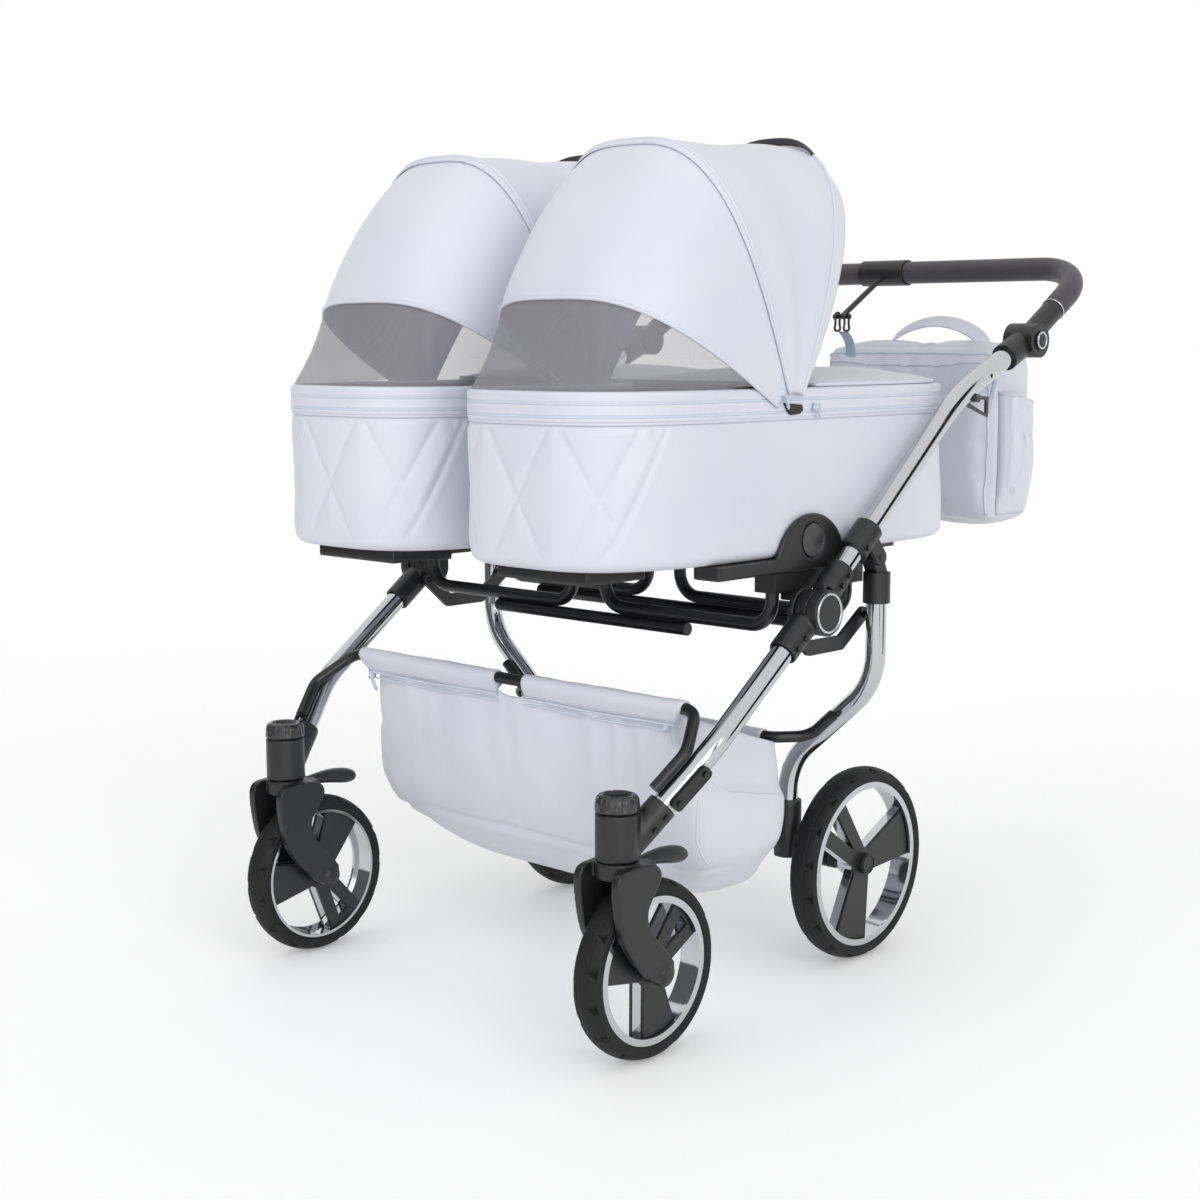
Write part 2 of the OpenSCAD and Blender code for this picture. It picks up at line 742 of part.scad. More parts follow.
// Flat fold links from the hinge base to the rear legs
link_w = 20;
module link_bar(a, b) {
    hull() {
        knob_x(a[0], a[1], link_w / 2, link_x, link_x + link_t);
        knob_x(b[0], b[1], link_w / 2, link_x, link_x + link_t);
    }
}
link_ahead = 42;
link_behind = 112;
link_drop = 36;
module fold_link() {
    a = [link_pivot[1], link_pivot[2]];
    b = [link_pivot[1] + link_ahead, link_pivot[2] - link_drop];
    c = [link_pivot[1] + link_behind, link_pivot[2] - link_drop];
    d = [link_end[1], link_end[2]];
    difference() {
        union() {
            link_bar(a, b);
            link_bar(b, c);
            link_bar(c, d);
        }
        bar_x(link_x - over, link_x + link_t + over, a[0], a[1], pivot_d / 2 + pin_fit);
        bar_x(link_x - over, link_x + link_t + over, d[0], d[1], pivot_d / 2 + link_eye_gap);
    }
}
module fold_links() {
    color(black) both() fold_link();
}

// Brackets at the feet of the rear legs
module axle_bracket() {
    difference() {
        union() {
            translate([leg_low_x, leg_plane_y, leg_foot_z - bracket_r]) cylinder(h = bracket_h,
                r = bracket_r);
            hull() {
                knob_x(leg_plane_y, leg_foot_z, boss_r, leg_low_x - bracket_t / 2, leg_low_x +
                    bracket_t / 2);
                knob_x(rear_reach, rear_r, boss_r, leg_low_x - bracket_t / 2, leg_low_x + bracket_t / 2);
            }
            bar_x(leg_low_x - boss_r, leg_low_x + boss_r, rear_reach, rear_r, boss_r);
        }
        translate([leg_low_x, leg_plane_y, leg_foot_z]) cylinder(h = bracket_h, r = leg_r + fit);
        bar_x(leg_low_x - boss_r - over, leg_low_x + boss_r + over, rear_reach, rear_r, axle_d / 2 + fit);
        bar_x(leg_low_x - bracket_t, leg_low_x + bracket_t, brake_y, brake_z, brake_d / 2 + pin_fit);
    }
}
module axle_brackets() {
    color(black) both() axle_bracket();
}

// Cross tube between the brackets with the rear wheels' stub axles
axle_tube_d = 18;
module rear_axle() {
    end_x = rear_half + hub_l / 2 - over;
    mid_x = leg_low_x - boss_r - fit;
    color(chrome) union() {
        bar_x(-mid_x, mid_x, rear_reach, rear_r, axle_tube_d / 2);
        bar_x(-end_x, end_x, rear_reach, rear_r, axle_d / 2);
    }
}

// Brake shaft with its foot pedal
brake_share = 0.5;
brake_d = 8;
brake_y = mix(leg_plane_y, rear_reach, brake_share);
brake_z = mix(leg_foot_z, rear_r, brake_share);
pedal_w = 90;
pedal_l = 62;
pedal_t = 7;
pedal_rise = 26;
pedal_arm = 24;
module brake_bar() {
    end_x = leg_low_x + bracket_t / 2;
    pedal_y = brake_y + pedal_arm;
    color(black) union() {
        bar_x(-end_x, end_x, brake_y, brake_z, brake_d / 2);
        hull() {
            bar_x(-pedal_w / 2, pedal_w / 2, brake_y, brake_z, brake_d / 2);
            bar_x(-pedal_w / 2, pedal_w / 2, pedal_y, brake_z + pedal_rise, pedal_t / 2);
        }
        hull() {
            bar_x(-pedal_w / 2, pedal_w / 2, pedal_y, brake_z + pedal_rise, pedal_t / 2);
            bar_x(-pedal_w / 2, pedal_w / 2, brake_y + pedal_l, brake_z + pedal_rise, pedal_t / 2);
        }
    }
}

// Carrier hoops and tie bars under the cots
riser_in = 17;
socket_w = 34;
riser_out_x = cot_x + cot_half - riser_in;
riser_in_x = cot_x - cot_half + riser_in;
hoop_bend = 34;
riser_seat = 14;
tie_front_in = 145;
tie_rear_in = 71;
tie_front_half = riser_out_x - tie_front_in;
tie_rear_half = riser_out_x - tie_rear_in;
tie_z = carrier_z - carrier_d - fit;
module hoop(y) {
    top = socket_z - socket_h + riser_seat;
    pipe([[riser_out_x, y, top], [riser_out_x, y, carrier_z], [riser_in_x, y, carrier_z], [riser_in_x,
        y, top]],
        carrier_d / 2, hoop_bend);
}
module carrier_tubes() {
    color(black) {
        both() {
            hoop(-carrier_front);
            hoop(-carrier_rear);
        }
        bar_x(-tie_front_half, tie_front_half, -carrier_front, tie_z, carrier_d / 2);
        bar_x(-tie_rear_half, tie_rear_half, -carrier_rear, tie_z, carrier_d / 2);
    }
}

// Sockets on the hoops that take the cots
socket_margin = 16;
spigot_l = 30;
spigot_w = 10;
spigot_h = 12;
latch_y = -136;
module cot_socket(x) {
    front = -carrier_front - socket_margin;
    length = carrier_front - carrier_rear + 2 * socket_margin;
    difference() {
        union() {
            translate([x - socket_w / 2, front, socket_z - socket_h]) cube([socket_w, length, socket_h]);
            translate([x - spigot_w / 2, latch_y - spigot_l / 2, socket_z - over]) cube([spigot_w,
                spigot_l, spigot_h + over]);
        }
        for (y = [-carrier_front, -carrier_rear]) translate([x, y, socket_z - socket_h - over])
            cylinder(h = riser_seat + over + fit, d = carrier_d + 2 * fit);
    }
}
module cot_sockets() {
    color(black) both() {
        cot_socket(riser_out_x);
        cot_socket(riser_in_x);
    }
}

// Basket rails
rail_r = rail_d / 2;
rail_gap = 0.9;
rail_off = tube_r + rail_r + rail_gap;
low_run = front_knee - sleeve_end;
low_run_d = unit(low_run);
rail_lean_shares = [-0.3, -0.8, 0.5];
rail_n = square_off(rail_lean_shares, low_run_d);
rail_low_share = 0.05;
rail_high_share = 0.7;
rail_bend = 32;
rail_inset = 44;
module basket_front_rail() {
    a = sleeve_end + low_run * rail_low_share + rail_n * rail_off;
    b = sleeve_end + low_run * rail_high_share + rail_n * rail_off;
    c = [frame_half - rail_inset, -basket_front_y, basket_front_z];
    color(black) {
        pipe([a, b, c, mirrored(c), mirrored(b), mirrored(a)], rail_r, rail_bend);
        both() clamp_plate();
    }
}

// Screwed plate on the outside of a front tube, which holds the rail's foot
plate_l = 66;
plate_w = 20;
plate_t = 6;
plate_lead = 3;
plate_corner = 7;
plate_out = square_off(ex, sleeve_d);
plate_across = cross(plate_out, sleeve_d);
module clamp_plate() {
    at = sleeve_end + sleeve_d * plate_lead + plate_out * (tube_r + fit) - plate_across * plate_w / 2;
    multmatrix([for (k = [0:2]) [sleeve_d[k], plate_across[k], plate_out[k], at[k]]])
        linear_extrude(height = plate_t) union() {
        translate([plate_corner, 0]) square([plate_l - 2 * plate_corner, plate_w]);
        translate([0, plate_corner]) square([plate_l, plate_w - 2 * plate_corner]);
        for (x = [plate_corner, plate_l - plate_corner]) for (y = [plate_corner, plate_w - plate_corner])
            translate([x, y]) circle(r = plate_corner);
    }
}
function mirrored(p) = [-p[0], p[1], p[2]];

leg_mid_d = unit([leg_low_x - frame_half, 0, leg_bend_low - leg_bend_high]);
leg_mid = [mix(frame_half, leg_low_x, half_share), leg_plane_y, mix(leg_bend_high, leg_bend_low,
    half_share)];
rear_rail_run = 26;
rear_rail_out = 20;
rear_rail_x = leg_low_x + rear_rail_out;
rear_bend = 30;
module basket_rear_rail() {
    off = [0, -(leg_r + rail_r + run), 0];
    a = leg_mid + off - leg_mid_d * rear_rail_run;
    b = leg_mid + off + leg_mid_d * rear_rail_run;
    c = [rear_rail_x, -basket_rear_y, basket_rear_z];
    color(black) pipe([a, b, c, mirrored(c), mirrored(b), mirrored(a)], rail_r, rear_bend);
}

// Basket hung between the rails
basket_n = 40;
basket_power = 5;
basket_front_in = 64;
basket_mid_in = 76;
basket_rear_out = 42;
basket_low_out = 16;
basket_front_half = frame_half - basket_front_in;
basket_mid_half = frame_half - basket_mid_in;
basket_rear_half = leg_low_x + basket_rear_out;
basket_low_half = leg_low_x + basket_low_out;
basket_gap = 0.4;
basket_rear_drop = 5;
basket_swell = 10;
basket_toe = 45;
basket_heel = 30;
toe_low_share = 1.6;
toe_floor_share = 2.1;
low_share = 0.9;
function basket_ring(yf, yr, zf, zr, wf, wr) = [for (i = [0:basket_n - 1]) let (t = 360 * i / basket_n,
    k = (1 + sign(sin(t)) * arc_y(t, basket_power)) / 2)
    [arc_x(t, basket_power) * mix(wf, wr, k), mix(yf, yr, k), mix(zf, zr, k)]];
function basket_level(k, g) = let (
    top_f = basket_front_z - rail_r - basket_gap,
    top_r = basket_rear_z - rail_r - basket_gap - basket_rear_drop,
    low = basket_floor_z + g,
    yf = -basket_front_y - basket_t / 2 + g,
    yr = -basket_rear_y + basket_t / 2 - g)
    k == 0 ? basket_ring(yf, yr, top_f, top_r, basket_front_half - g, basket_rear_half - g) :
    k == 1 ? basket_ring(yf + basket_swell, yr, mix(top_f, low, 1 / 3), mix(top_r, low, 1 / 3),
        basket_front_half - g, basket_rear_half + basket_swell - g) :
    k == 2 ? basket_ring(yf + basket_toe, yr - basket_swell, mix(top_f, low, 2 / 3), mix(top_r, low,
        2 / 3), basket_mid_half - g, basket_rear_half + basket_swell - g) :
    k == 3 ? basket_ring(yf + toe_low_share * basket_toe, yr - basket_heel, mix(top_f, low, low_share),
        mix(top_r, low, low_share), basket_rear_half - g, basket_rear_half - g) :
    basket_ring(yf + toe_floor_share * basket_toe, yr - 2 * basket_heel, low, low, basket_low_half - g,
        basket_low_half - g);
module basket() {
    color(leather) loft(concat([for (k = [4:-1:0]) basket_level(k, 0)], [for (k = [0:4])
        basket_level(k, basket_t)]));
}

// Screws on the front frame
screw_d = 8;
screw_h = 2.5;
screw_shares = [0.62, 0.86];
plate_screw_shares = [0.13, 0.87];
module screw(p, d) {
    aim(p, d) cylinder(h = screw_h, d = screw_d);
}
module front_screws() {
    wall = tube_r + sleeve_wall + fit / 2;
    out_d = square_off(ex, sleeve_d);
    out_l = square_off(ex, lower_d);
    color(chrome) both() {
        for (k = screw_shares) screw(sleeve_from + sleeve_d * sleeve_l * k + out_d * wall, out_d);
        for (k = plate_screw_shares) screw(sleeve_end + sleeve_d * (plate_lead + plate_l * k) + plate_out *
            (tube_r + plate_t + 2 * fit), plate_out);
        for (k = screw_shares) screw(hinge + lower_d * hinge_sleeve * k + out_l * wall, out_l);
    }
}

// Screws on the leg clamps and the upper hinge sleeves
module clamp_screws() {
    wall = tube_r + sleeve_wall + fit / 2;
    on_tube = hinge + upper_d * ((leg_pivot - hinge) * upper_d);
    color(chrome) both() {
        screw(on_tube - upper_d * clamp_l * clamp_screw_share + ex * (tube_r + clamp_wall + fit / 2), ex);
        for (k = screw_shares) screw(hinge + upper_d * hinge_sleeve * k + ex * wall, ex);
    }
}
clamp_screw_share = 0.4;

// Handle joints
joint_pin_d = 10;
joint_outer = 25;
joint_inner = 23;
joint_split = 1;
joint_out = frame_half + joint_outer;
joint_in = frame_half - joint_inner;
joint_mid = frame_half + joint_split;
button_d = 27;
button_t = 6;
button_proud = 3;
button_room = button_t - button_proud + button_travel + run;
module handle_socket() {
    difference() {
        union() {
            bar_x(joint_in, joint_mid - run, joint[1], joint[2], joint_r);
            rod(joint, joint - joint_d * joint_sleeve, tube_r + sleeve_wall);
        }
        bar_x(joint_mid - run, joint_out + over, joint[1], joint[2], joint_r + run);
        rod(joint - joint_d * joint_seat, joint - joint_d * (joint_sleeve + over), tube_r + fit);
        bar_x(joint_in - over, joint_out, joint[1], joint[2], joint_pin_d / 2 + pin_fit);
    }
}
module handle_sockets() {
    color(black) both() handle_socket();
}

neck_seat_share = 0.14;
neck_l_share = 0.413;
neck_seat = neck_run * neck_seat_share;
neck_l = neck_run * neck_l_share;
neck_wall = 4.5;
neck_ring_l = 6;
module handle_knuckle() {
    difference() {
        union() {
            bar_x(joint_mid, joint_out, joint[1], joint[2], joint_r);
            rod(joint, joint + neck_d * neck_l, bar_d / 2 + neck_wall);
        }
        bar_x(joint_in - over, joint_mid, joint[1], joint[2], joint_r + run);
        rod(joint + neck_d * neck_seat, joint + neck_d * (neck_l + over), bar_d / 2 + fit);
        bar_x(joint_out - button_room, joint_out + over, joint[1], joint[2], button_d / 2 + run);
    }
    bar_x(joint_in + over, joint_mid + over, joint[1], joint[2], joint_pin_d / 2);
}
function bar_path(start) = let (a = joint + neck_d * start) [a, corner, mirrored(corner), mirrored(a)];
module handle_bar() {
    color(black) both() handle_knuckle();
    color(chrome) pipe(bar_path(neck_seat + fit), bar_d / 2, bar_bend);
}
module handle_grip() {
    color(black) difference() {
        pipe(bar_path(neck_l + fit), grip_d / 2, bar_bend);
        pipe(bar_path(neck_l - over), bar_d / 2 + fit, bar_bend);
    }
}
module handle_button_left() {
    color(chrome) bar_x(joint_out + button_proud - button_t, joint_out + button_proud, joint[1],
        joint[2], button_d / 2);
}
module handle_button_right() mirror(ex) handle_button_left();

// Bag rod on the handlebar and the two snap hooks
rod_sleeve_half = 43;
rod_wall = 3;
rod_d = 9;
rod_ahead = 122;
rod_drop = 72;
rod_bar_half = 16;
rod_bar_d = 8;
clip_x = 9;
clip_eye = 8;
clip_t = 5;
clip_l = 24;
clip_w = 15;
clip_wire = 3;
rod_end = [0, bar_reach - rod_ahead, bar_z - rod_drop];
module bag_rod() {
    d = unit(rod_end - [0, bar_reach, bar_z]);
    color(black) difference() {
        union() {
            bar_x(-rod_sleeve_half, rod_sleeve_half, bar_reach, bar_z, grip_d / 2 + rod_wall);
            rod([0, bar_reach, bar_z], rod_end, rod_d / 2);
            bar_x(-rod_bar_half, rod_bar_half, rod_end[1], rod_end[2], rod_bar_d / 2);
        }
        bar_x(-rod_sleeve_half - over, rod_sleeve_half + over, bar_reach, bar_z, grip_d / 2 + fit);
    }
}
module bag_clips() {
    color(grey) both() difference() {
        union() {
            bar_x(clip_x - clip_t / 2, clip_x + clip_t / 2, rod_end[1], rod_end[2], clip_eye);
            translate([clip_x - clip_t / 2, rod_end[1] - clip_w / 2, rod_end[2] - clip_l])
                cube([clip_t, clip_w, clip_l - clip_eye / 2]);
        }
        bar_x(0, 2 * clip_x, rod_end[1], rod_end[2], rod_bar_d / 2 + run);
        translate([clip_x - clip_t, rod_end[1] - clip_w / 2 + clip_wire, rod_end[2] - clip_l + clip_wire])
            cube([2 * clip_t, clip_w - 2 * clip_wire, clip_l - clip_eye - 2 * clip_wire]);
    }
}

// Bag stud and ring on the left upper tube
stud_d = 12;
ring_t = 4;
ring_l = 78;
ring_h = 30;
ring_wire = 5;
stud_along = 34;
stud_at = upper_knee + joint_d * stud_along - ez * tube_r;
module bag_hook() {
    x = frame_half - tube_r - ring_t - fit;
    y = stud_at[1];
    z = stud_at[2];
    color(grey) difference() {
        union() {
            bar_x(x, frame_half + tube_r + cap_step, y, z, stud_d / 2);
            translate([x, y, z]) rotate([90, 0, 90]) linear_extrude(height = ring_t)
                polygon([[0, stud_d / 2], [ring_l, 0], [ring_l, -ring_h], [0, -stud_d / 2]]);
        }
        translate([x - over, y, z]) rotate([90, 0, 90]) linear_extrude(height = ring_t + 2 * over)
            polygon([[stud_d, 0], [ring_l - ring_wire, -ring_wire], [ring_l - ring_wire, ring_wire -
                ring_h], [stud_d, -ring_wire / 2]]);
        pipe([hinge + upper_d * hinge_seat, upper_knee, joint - joint_d * joint_seat], tube_r +
            fit / 2, upper_bend);
    }
}

// Changing bag
bag_n = 40;
bag_power = 5;
function bag_ring(k, s) = [for (i = [0:bag_n - 1]) let (t = 360 * i / bag_n)
    [bag_w / 2 - bag_right + arc_x(t, bag_power) * bag_w / 2 * s,
    bag_reach + bag_d / 2 + sign(sin(t)) * arc_y(t, bag_power) * bag_d / 2 * s, bag_z + bag_h * k]];
bag_high_shares = [0, 0.03, 0.12, 0.3, 0.6, 0.85, 0.96, 1];
bag_wide_shares = [0.86, 0.95, 0.99, 1, 1, 0.98, 0.94, 0.84];
// Strap from the bag's left edge to the ring on the tube
strap_w = 20;
strap_t = 3;
strap_in = 24;
strap_high_share = 0.85;
module bag_strap() {
    ring_x = frame_half - tube_r - fit - ring_t / 2;
    end = [ring_x, stud_at[1] + ring_l + run + strap_t / 2, stud_at[2] - ring_h / 2];
    root = [bag_w - bag_right - strap_in, bag_reach + strap_in, bag_z + bag_h * strap_high_share];
    aim(end, unit(root - end)) translate([-strap_t / 2, -strap_w / 2, 0])
        cube([strap_t, strap_w, norm(root - end)]);
}
module bag() {
    color(leather) union() {
        loft([for (i = [0:len(bag_high_shares) - 1]) bag_ring(bag_high_shares[i], bag_wide_shares[i])]);
        bag_strap();
    }
}

// Cot outline around its own centre line
cot_n = 48;
cot_power = 3.3;
cot_foot_power = 4;
front_mid = 205;
rear_mid = 40;
rim_out = 3;
edge_r = 34;
function outline(g, z, lean) = [for (i = [0:cot_n - 1]) let (t = 360 * (i + 0.5) / cot_n)
    sin(t) > 0 ?
    [(cot_half - g) * arc_x(t, cot_foot_power), rear_mid + (cot_rear - rear_mid - g - lean) * arc_y(t,
        cot_foot_power), z] :
    [(cot_half - g) * arc_x(t, cot_power), -front_mid - (cot_front - front_mid - g) * arc_y(t,
        cot_power), z]];
rim_z = cot_z + cot_h;
band_z = rim_z - rim_band;
foot_lean = 14;
edge_shares = [[0.42, 0], [0.18, 0.06], [0.05, 0.22], [0, 1]];
module tub() {
    outer = concat([for (e = edge_shares) outline(edge_r * e[0], cot_z + edge_r * e[1], 0)],
        [outline(0, band_z, foot_lean), outline(-rim_out, band_z + rim_out, foot_lean),
        outline(-rim_out, rim_z - rim_out, foot_lean), outline(0, rim_z, foot_lean)]);
    inner = [outline(cot_wall, rim_z, foot_lean), outline(cot_wall, cot_z + edge_r, 0), outline(edge_r,
        cot_z + cot_wall, 0)];
    loft(concat(outer, inner));
}
module left_cot() translate([cot_x, 0, 0]) children();
module right_cot() translate([-cot_x, 0, 0]) mirror(ex) children();
module cot_tub_left() color(leather) left_cot() tub();
module cot_tub_right() color(leather) right_cot() tub();

// Latch frame under a cot with its side housings and feet
latch_gap = 0.3;
latch_out = 8.2;
latch_r = 76;
latch_beam_w = 44;
latch_ahead = 194;
latch_behind = 86;
cross_l = 40;
foot_half = 80;
foot_l = 110;
foot_h = 20;
front_foot = -470;
rear_foot = 80;
latch_button_d = 44;
latch_button_up = 40;
pocket_gap = 0.6;
latch_low = socket_z + latch_gap;
latch_high = cot_z - latch_gap;
module latches() {
    x_in = cot_half + latch_gap;
    difference() {
        union() {
            for (s = [-1, 1]) scale_side(s) {
                difference() {
                    bar_x(x_in, x_in + latch_out, latch_y, latch_low, latch_r);
                    translate([0, latch_y - 2 * latch_r, latch_low - 2 * latch_r]) cube([2 * cot_half,
                        4 * latch_r, 2 * latch_r]);
                }
                translate([x_in + latch_out - latch_beam_w, latch_y - latch_ahead, latch_low])
                    cube([latch_beam_w, latch_ahead + latch_behind, latch_high - latch_low]);
            }
            translate([-cot_half, latch_y - cross_l / 2, latch_high - foot_h / 2]) cube([2 * cot_half,
                cross_l, foot_h / 2]);
            for (y = [front_foot, rear_foot]) translate([-foot_half, y, latch_high - foot_h])
                cube([2 * foot_half, foot_l, foot_h]);
        }
        for (s = [-1, 1]) scale_side(s) {
            translate([cot_half - riser_in - spigot_w / 2 - pocket_gap, latch_y - spigot_l / 2 -
                pocket_gap, latch_low - over])
                cube([spigot_w + 2 * pocket_gap, spigot_l + 2 * pocket_gap, spigot_h + over +
                    pocket_gap]);
        }
        bar_x(x_in - over, x_in + latch_out + over, latch_y, latch_low + latch_button_up,
            latch_button_d / 2 + run);
    }
}
module scale_side(s) {
    if (s > 0) children();
    else mirror(ex) children();
}
module cot_latches_left() color(black) left_cot() latches();
module cot_latches_right() color(black) right_cot() latches();

cot_button_t = 3.6;
cot_button_in = 0.5;
cot_button_travel = 3;
module cot_button() {
    x = cot_half + latch_gap + latch_out - cot_button_in;
    bar_x(x - cot_button_t, x, latch_y, latch_low + latch_button_up, latch_button_d / 2);
}
module cot_button_left() color(grey) left_cot() cot_button();
module cot_button_right() color(grey) right_cot() cot_button();

// Apron over the foot end of a cot
apron_n = 40;
apron_base = 6;
apron_shares = [[1, 0, 0], [1, 1, 0], [0.97, 1, 0.45], [0.85, 1, 0.75], [0.55, 1, 0.95], [0.2, 1, 1]];
function apron_ring(e) = let (mid = (cot_rear - apron_front) / 2) [for (i = [0:apron_n - 1]) let (
    t = 180 * i / (apron_n - 1),
    p = [(cot_half - rim_out) * arc_x(t, cot_foot_power),
    -apron_front + (cot_rear - foot_lean + apron_front - rim_out) * arc_y(t, apron_power)])
    [p[0] * e[0], mid + (p[1] - mid) * e[0], rim_z + run + apron_base * e[1] + apron_rise * e[2]]];
apron_power = 6;
module apron() loft([for (e = apron_shares) apron_ring(e)]);
module cot_apron_left() color(leather) left_cot() apron();
module cot_apron_right() color(leather) right_cot() apron();

// Mattress with a crown and drawn-in sides
mattress_gap = 4;
mattress_draw = 8;
mattress_shares = [[0.9, 0], [0.25, 0.2], [0, 0.5], [0.25, 0.8], [1, 0.95]];
mattress_crown = 8;
module mattress() {
    base = cot_z + cot_wall + run;
    side = edge_r + mattress_gap;
    rings = [for (e = mattress_shares) outline(side + mattress_draw * e[0], base + mattress_t * e[1], 0)];
    crown = [outline(side + crown_in, base + mattress_t + mattress_crown / 2, 0), outline(side +
        2 * crown_in, base + mattress_t + mattress_crown, 0)];
    loft(concat(rings, crown));
}
crown_in = 34;
module cot_mattress_left() color(grey) left_cot() mattress();
module cot_mattress_right() color(grey) right_cot() mattress();

// Hood arches in planes through the pivot line
hood_n = 24;
hood_front_power = 3.3;
hood_mid_power = 3;
hood_rear_power = 2.5;
hood_start = 34;
hood_y = -hood_reach;
hood_z = cot_z + hood_lift;
hem_a = 6;
dip_side_share = 0.7;
dip_front_share = 0.3;
hem_drop = 5;
lap_a = 5;
function hood_h(a) = lookup(a, [[hood_rear_a - hem_a, hood_rear_h - hem_drop], [hood_rear_a, hood_rear_h],
    [mix(hood_rear_a, hood_mid_a, quarter_shares[0]), mix(hood_rear_h, hood_mid_h, quarter_shares[0]) -
        hood_dip * dip_side_share],
    [mix(hood_rear_a, hood_mid_a, quarter_shares[1]), mix(hood_rear_h, hood_mid_h, quarter_shares[1]) -
        hood_dip],
    [mix(hood_rear_a, hood_mid_a, quarter_shares[2]), mix(hood_rear_h, hood_mid_h, quarter_shares[2]) -
        hood_dip * dip_side_share],
    [hood_mid_a, hood_mid_h],
    [mix(hood_mid_a, hood_front_a, half_share), mix(hood_mid_h, hood_front_h, half_share) -
        hood_dip * dip_front_share],
    [hood_front_a, hood_front_h]]);
function hood_p(a) = lookup(a, [[hood_rear_a, hood_rear_power], [hood_mid_a, hood_mid_power],
    [hood_front_a, hood_front_power]]);
function arch_point(a, w, h, t) = let (p = hood_p(a), r = h * arc_y(t, p))
    [w * arc_x(t, p), hood_y + r * cos(a), hood_z + r * sin(a)];
function arch(a, w, h) = let (t0 = asin(pow(hood_start / h, hood_p(a) / 2)))
    [for (i = [0:hood_n]) arch_point(a, w, h, t0 + (180 - 2 * t0) * i / hood_n)];
function reversed(v) = [for (i = [len(v) - 1:-1:0]) v[i]];
function hood_ring(a, w, g) = let (h = hood_h(a) + g)
    concat(arch(a, w, h), reversed(arch(a, w - hood_t, h - hood_t)));
hood_side_gap = 0.8;
front_w = cot_half + rim_out + hood_side_gap + hood_t;
rear_w = front_w + hood_t + run;
front_steps = 8;
rear_steps = 12;
module hood_front() {
    strip_loft([for (i = [0:front_steps]) hood_ring(mix(hood_mid_a - lap_a, hood_front_a,
        i / front_steps), front_w, -hood_t - run)]);
}
module hood_rear() {
    strip_loft([for (i = [0:rear_steps]) hood_ring(mix(hood_rear_a - hem_a, hood_mid_a + lap_a,
        i / rear_steps), rear_w, 0)]);
}
module hood_front_left() color(leather) left_cot() hood_front();
module hood_front_right() color(leather) right_cot() hood_front();
module hood_rear_left() color(leather) left_cot() hood_rear();
module hood_rear_right() color(leather) right_cot() hood_rear();

// Carry bow over the rear edge of a hood, with its grip
bow_t = 3;
bow_a = 1.2;
module hood_bow() {
    strip_loft([for (k = [-1, 1]) let (a = hood_rear_a + k * bow_a, h = hood_h(a))
        concat(arch(a, rear_w + bow_t, h + bow_t + run), reversed(arch(a, rear_w + run, h + run)))]);
}
module hood_bow_left() color(black) left_cot() hood_bow();
module hood_bow_right() color(black) right_cot() hood_bow();

// Net window from the hood's front edge down to the rim
net_t = 1.6;
net_n = 24;
net_in = 2;
net_top = hood_front_a + 0.6;
function rim_point(t, g) = [(cot_half - g) * arc_x(t, cot_power),
    -front_mid - (cot_front - front_mid - g) * arc_y(t, cot_power), rim_z + run];
function net_line(k, g) = let (h = hood_front_h - hood_t - run - g, w = front_w - g, a = net_top,
    t0 = asin(pow(net_start / h, hood_p(a) / 2)))
    [for (i = [0:net_n]) let (u = i / net_n, top = arch_point(a, w, h, t0 + (180 - 2 * t0) * u))
    mix(top, rim_point(net_from + (180 - 2 * net_from) * u, g + net_in), k)];
net_from = 8;
net_start = 88;
net_steps = 4;
module net() {
    strip_loft([for (i = [0:net_steps]) concat(net_line(i / net_steps, 0),
        reversed(net_line(i / net_steps, net_t)))]);
}
module hood_mesh_left() color(grey) left_cot() net();
module hood_mesh_right() color(grey) right_cot() net();

front_tubes();
hinge_bases();
caster_housings();
carrier_tubes();
cot_sockets();
basket_front_rail();
basket();
front_screws();
upper_tubes();
hinge_tongues();
leg_clamps();
handle_sockets();
bag_hook();
bag();
clamp_screws();
handle_bar();
handle_grip();
bag_rod();
handle_button_left();
handle_button_right();
bag_clips();
rear_legs();
leg_fittings();
axle_brackets();
rear_axle();
basket_rear_rail();
brake_bar();
fold_links();
fork_left();
fork_right();
lock_lever_left();
lock_lever_right();
release_cap_left();
release_cap_right();
front_tyre_left();
front_rim_left();
front_tyre_right();
front_rim_right();
rear_tyre_left();
rear_rim_left();
rear_tyre_right();
rear_rim_right();
cot_tub_left();
cot_latches_left();
cot_apron_left();
cot_mattress_left();
hood_mesh_left();
hood_front_left();
hood_rear_left();
hood_bow_left();
cot_button_left();
cot_tub_right();
cot_latches_right();
cot_apron_right();
cot_mattress_right();
hood_mesh_right();
hood_front_right();
hood_rear_right();
hood_bow_right();
cot_button_right();
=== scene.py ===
import bpy, bmesh, json, math
import numpy as np
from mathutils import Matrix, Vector, noise
from mathutils.bvhtree import BVHTree


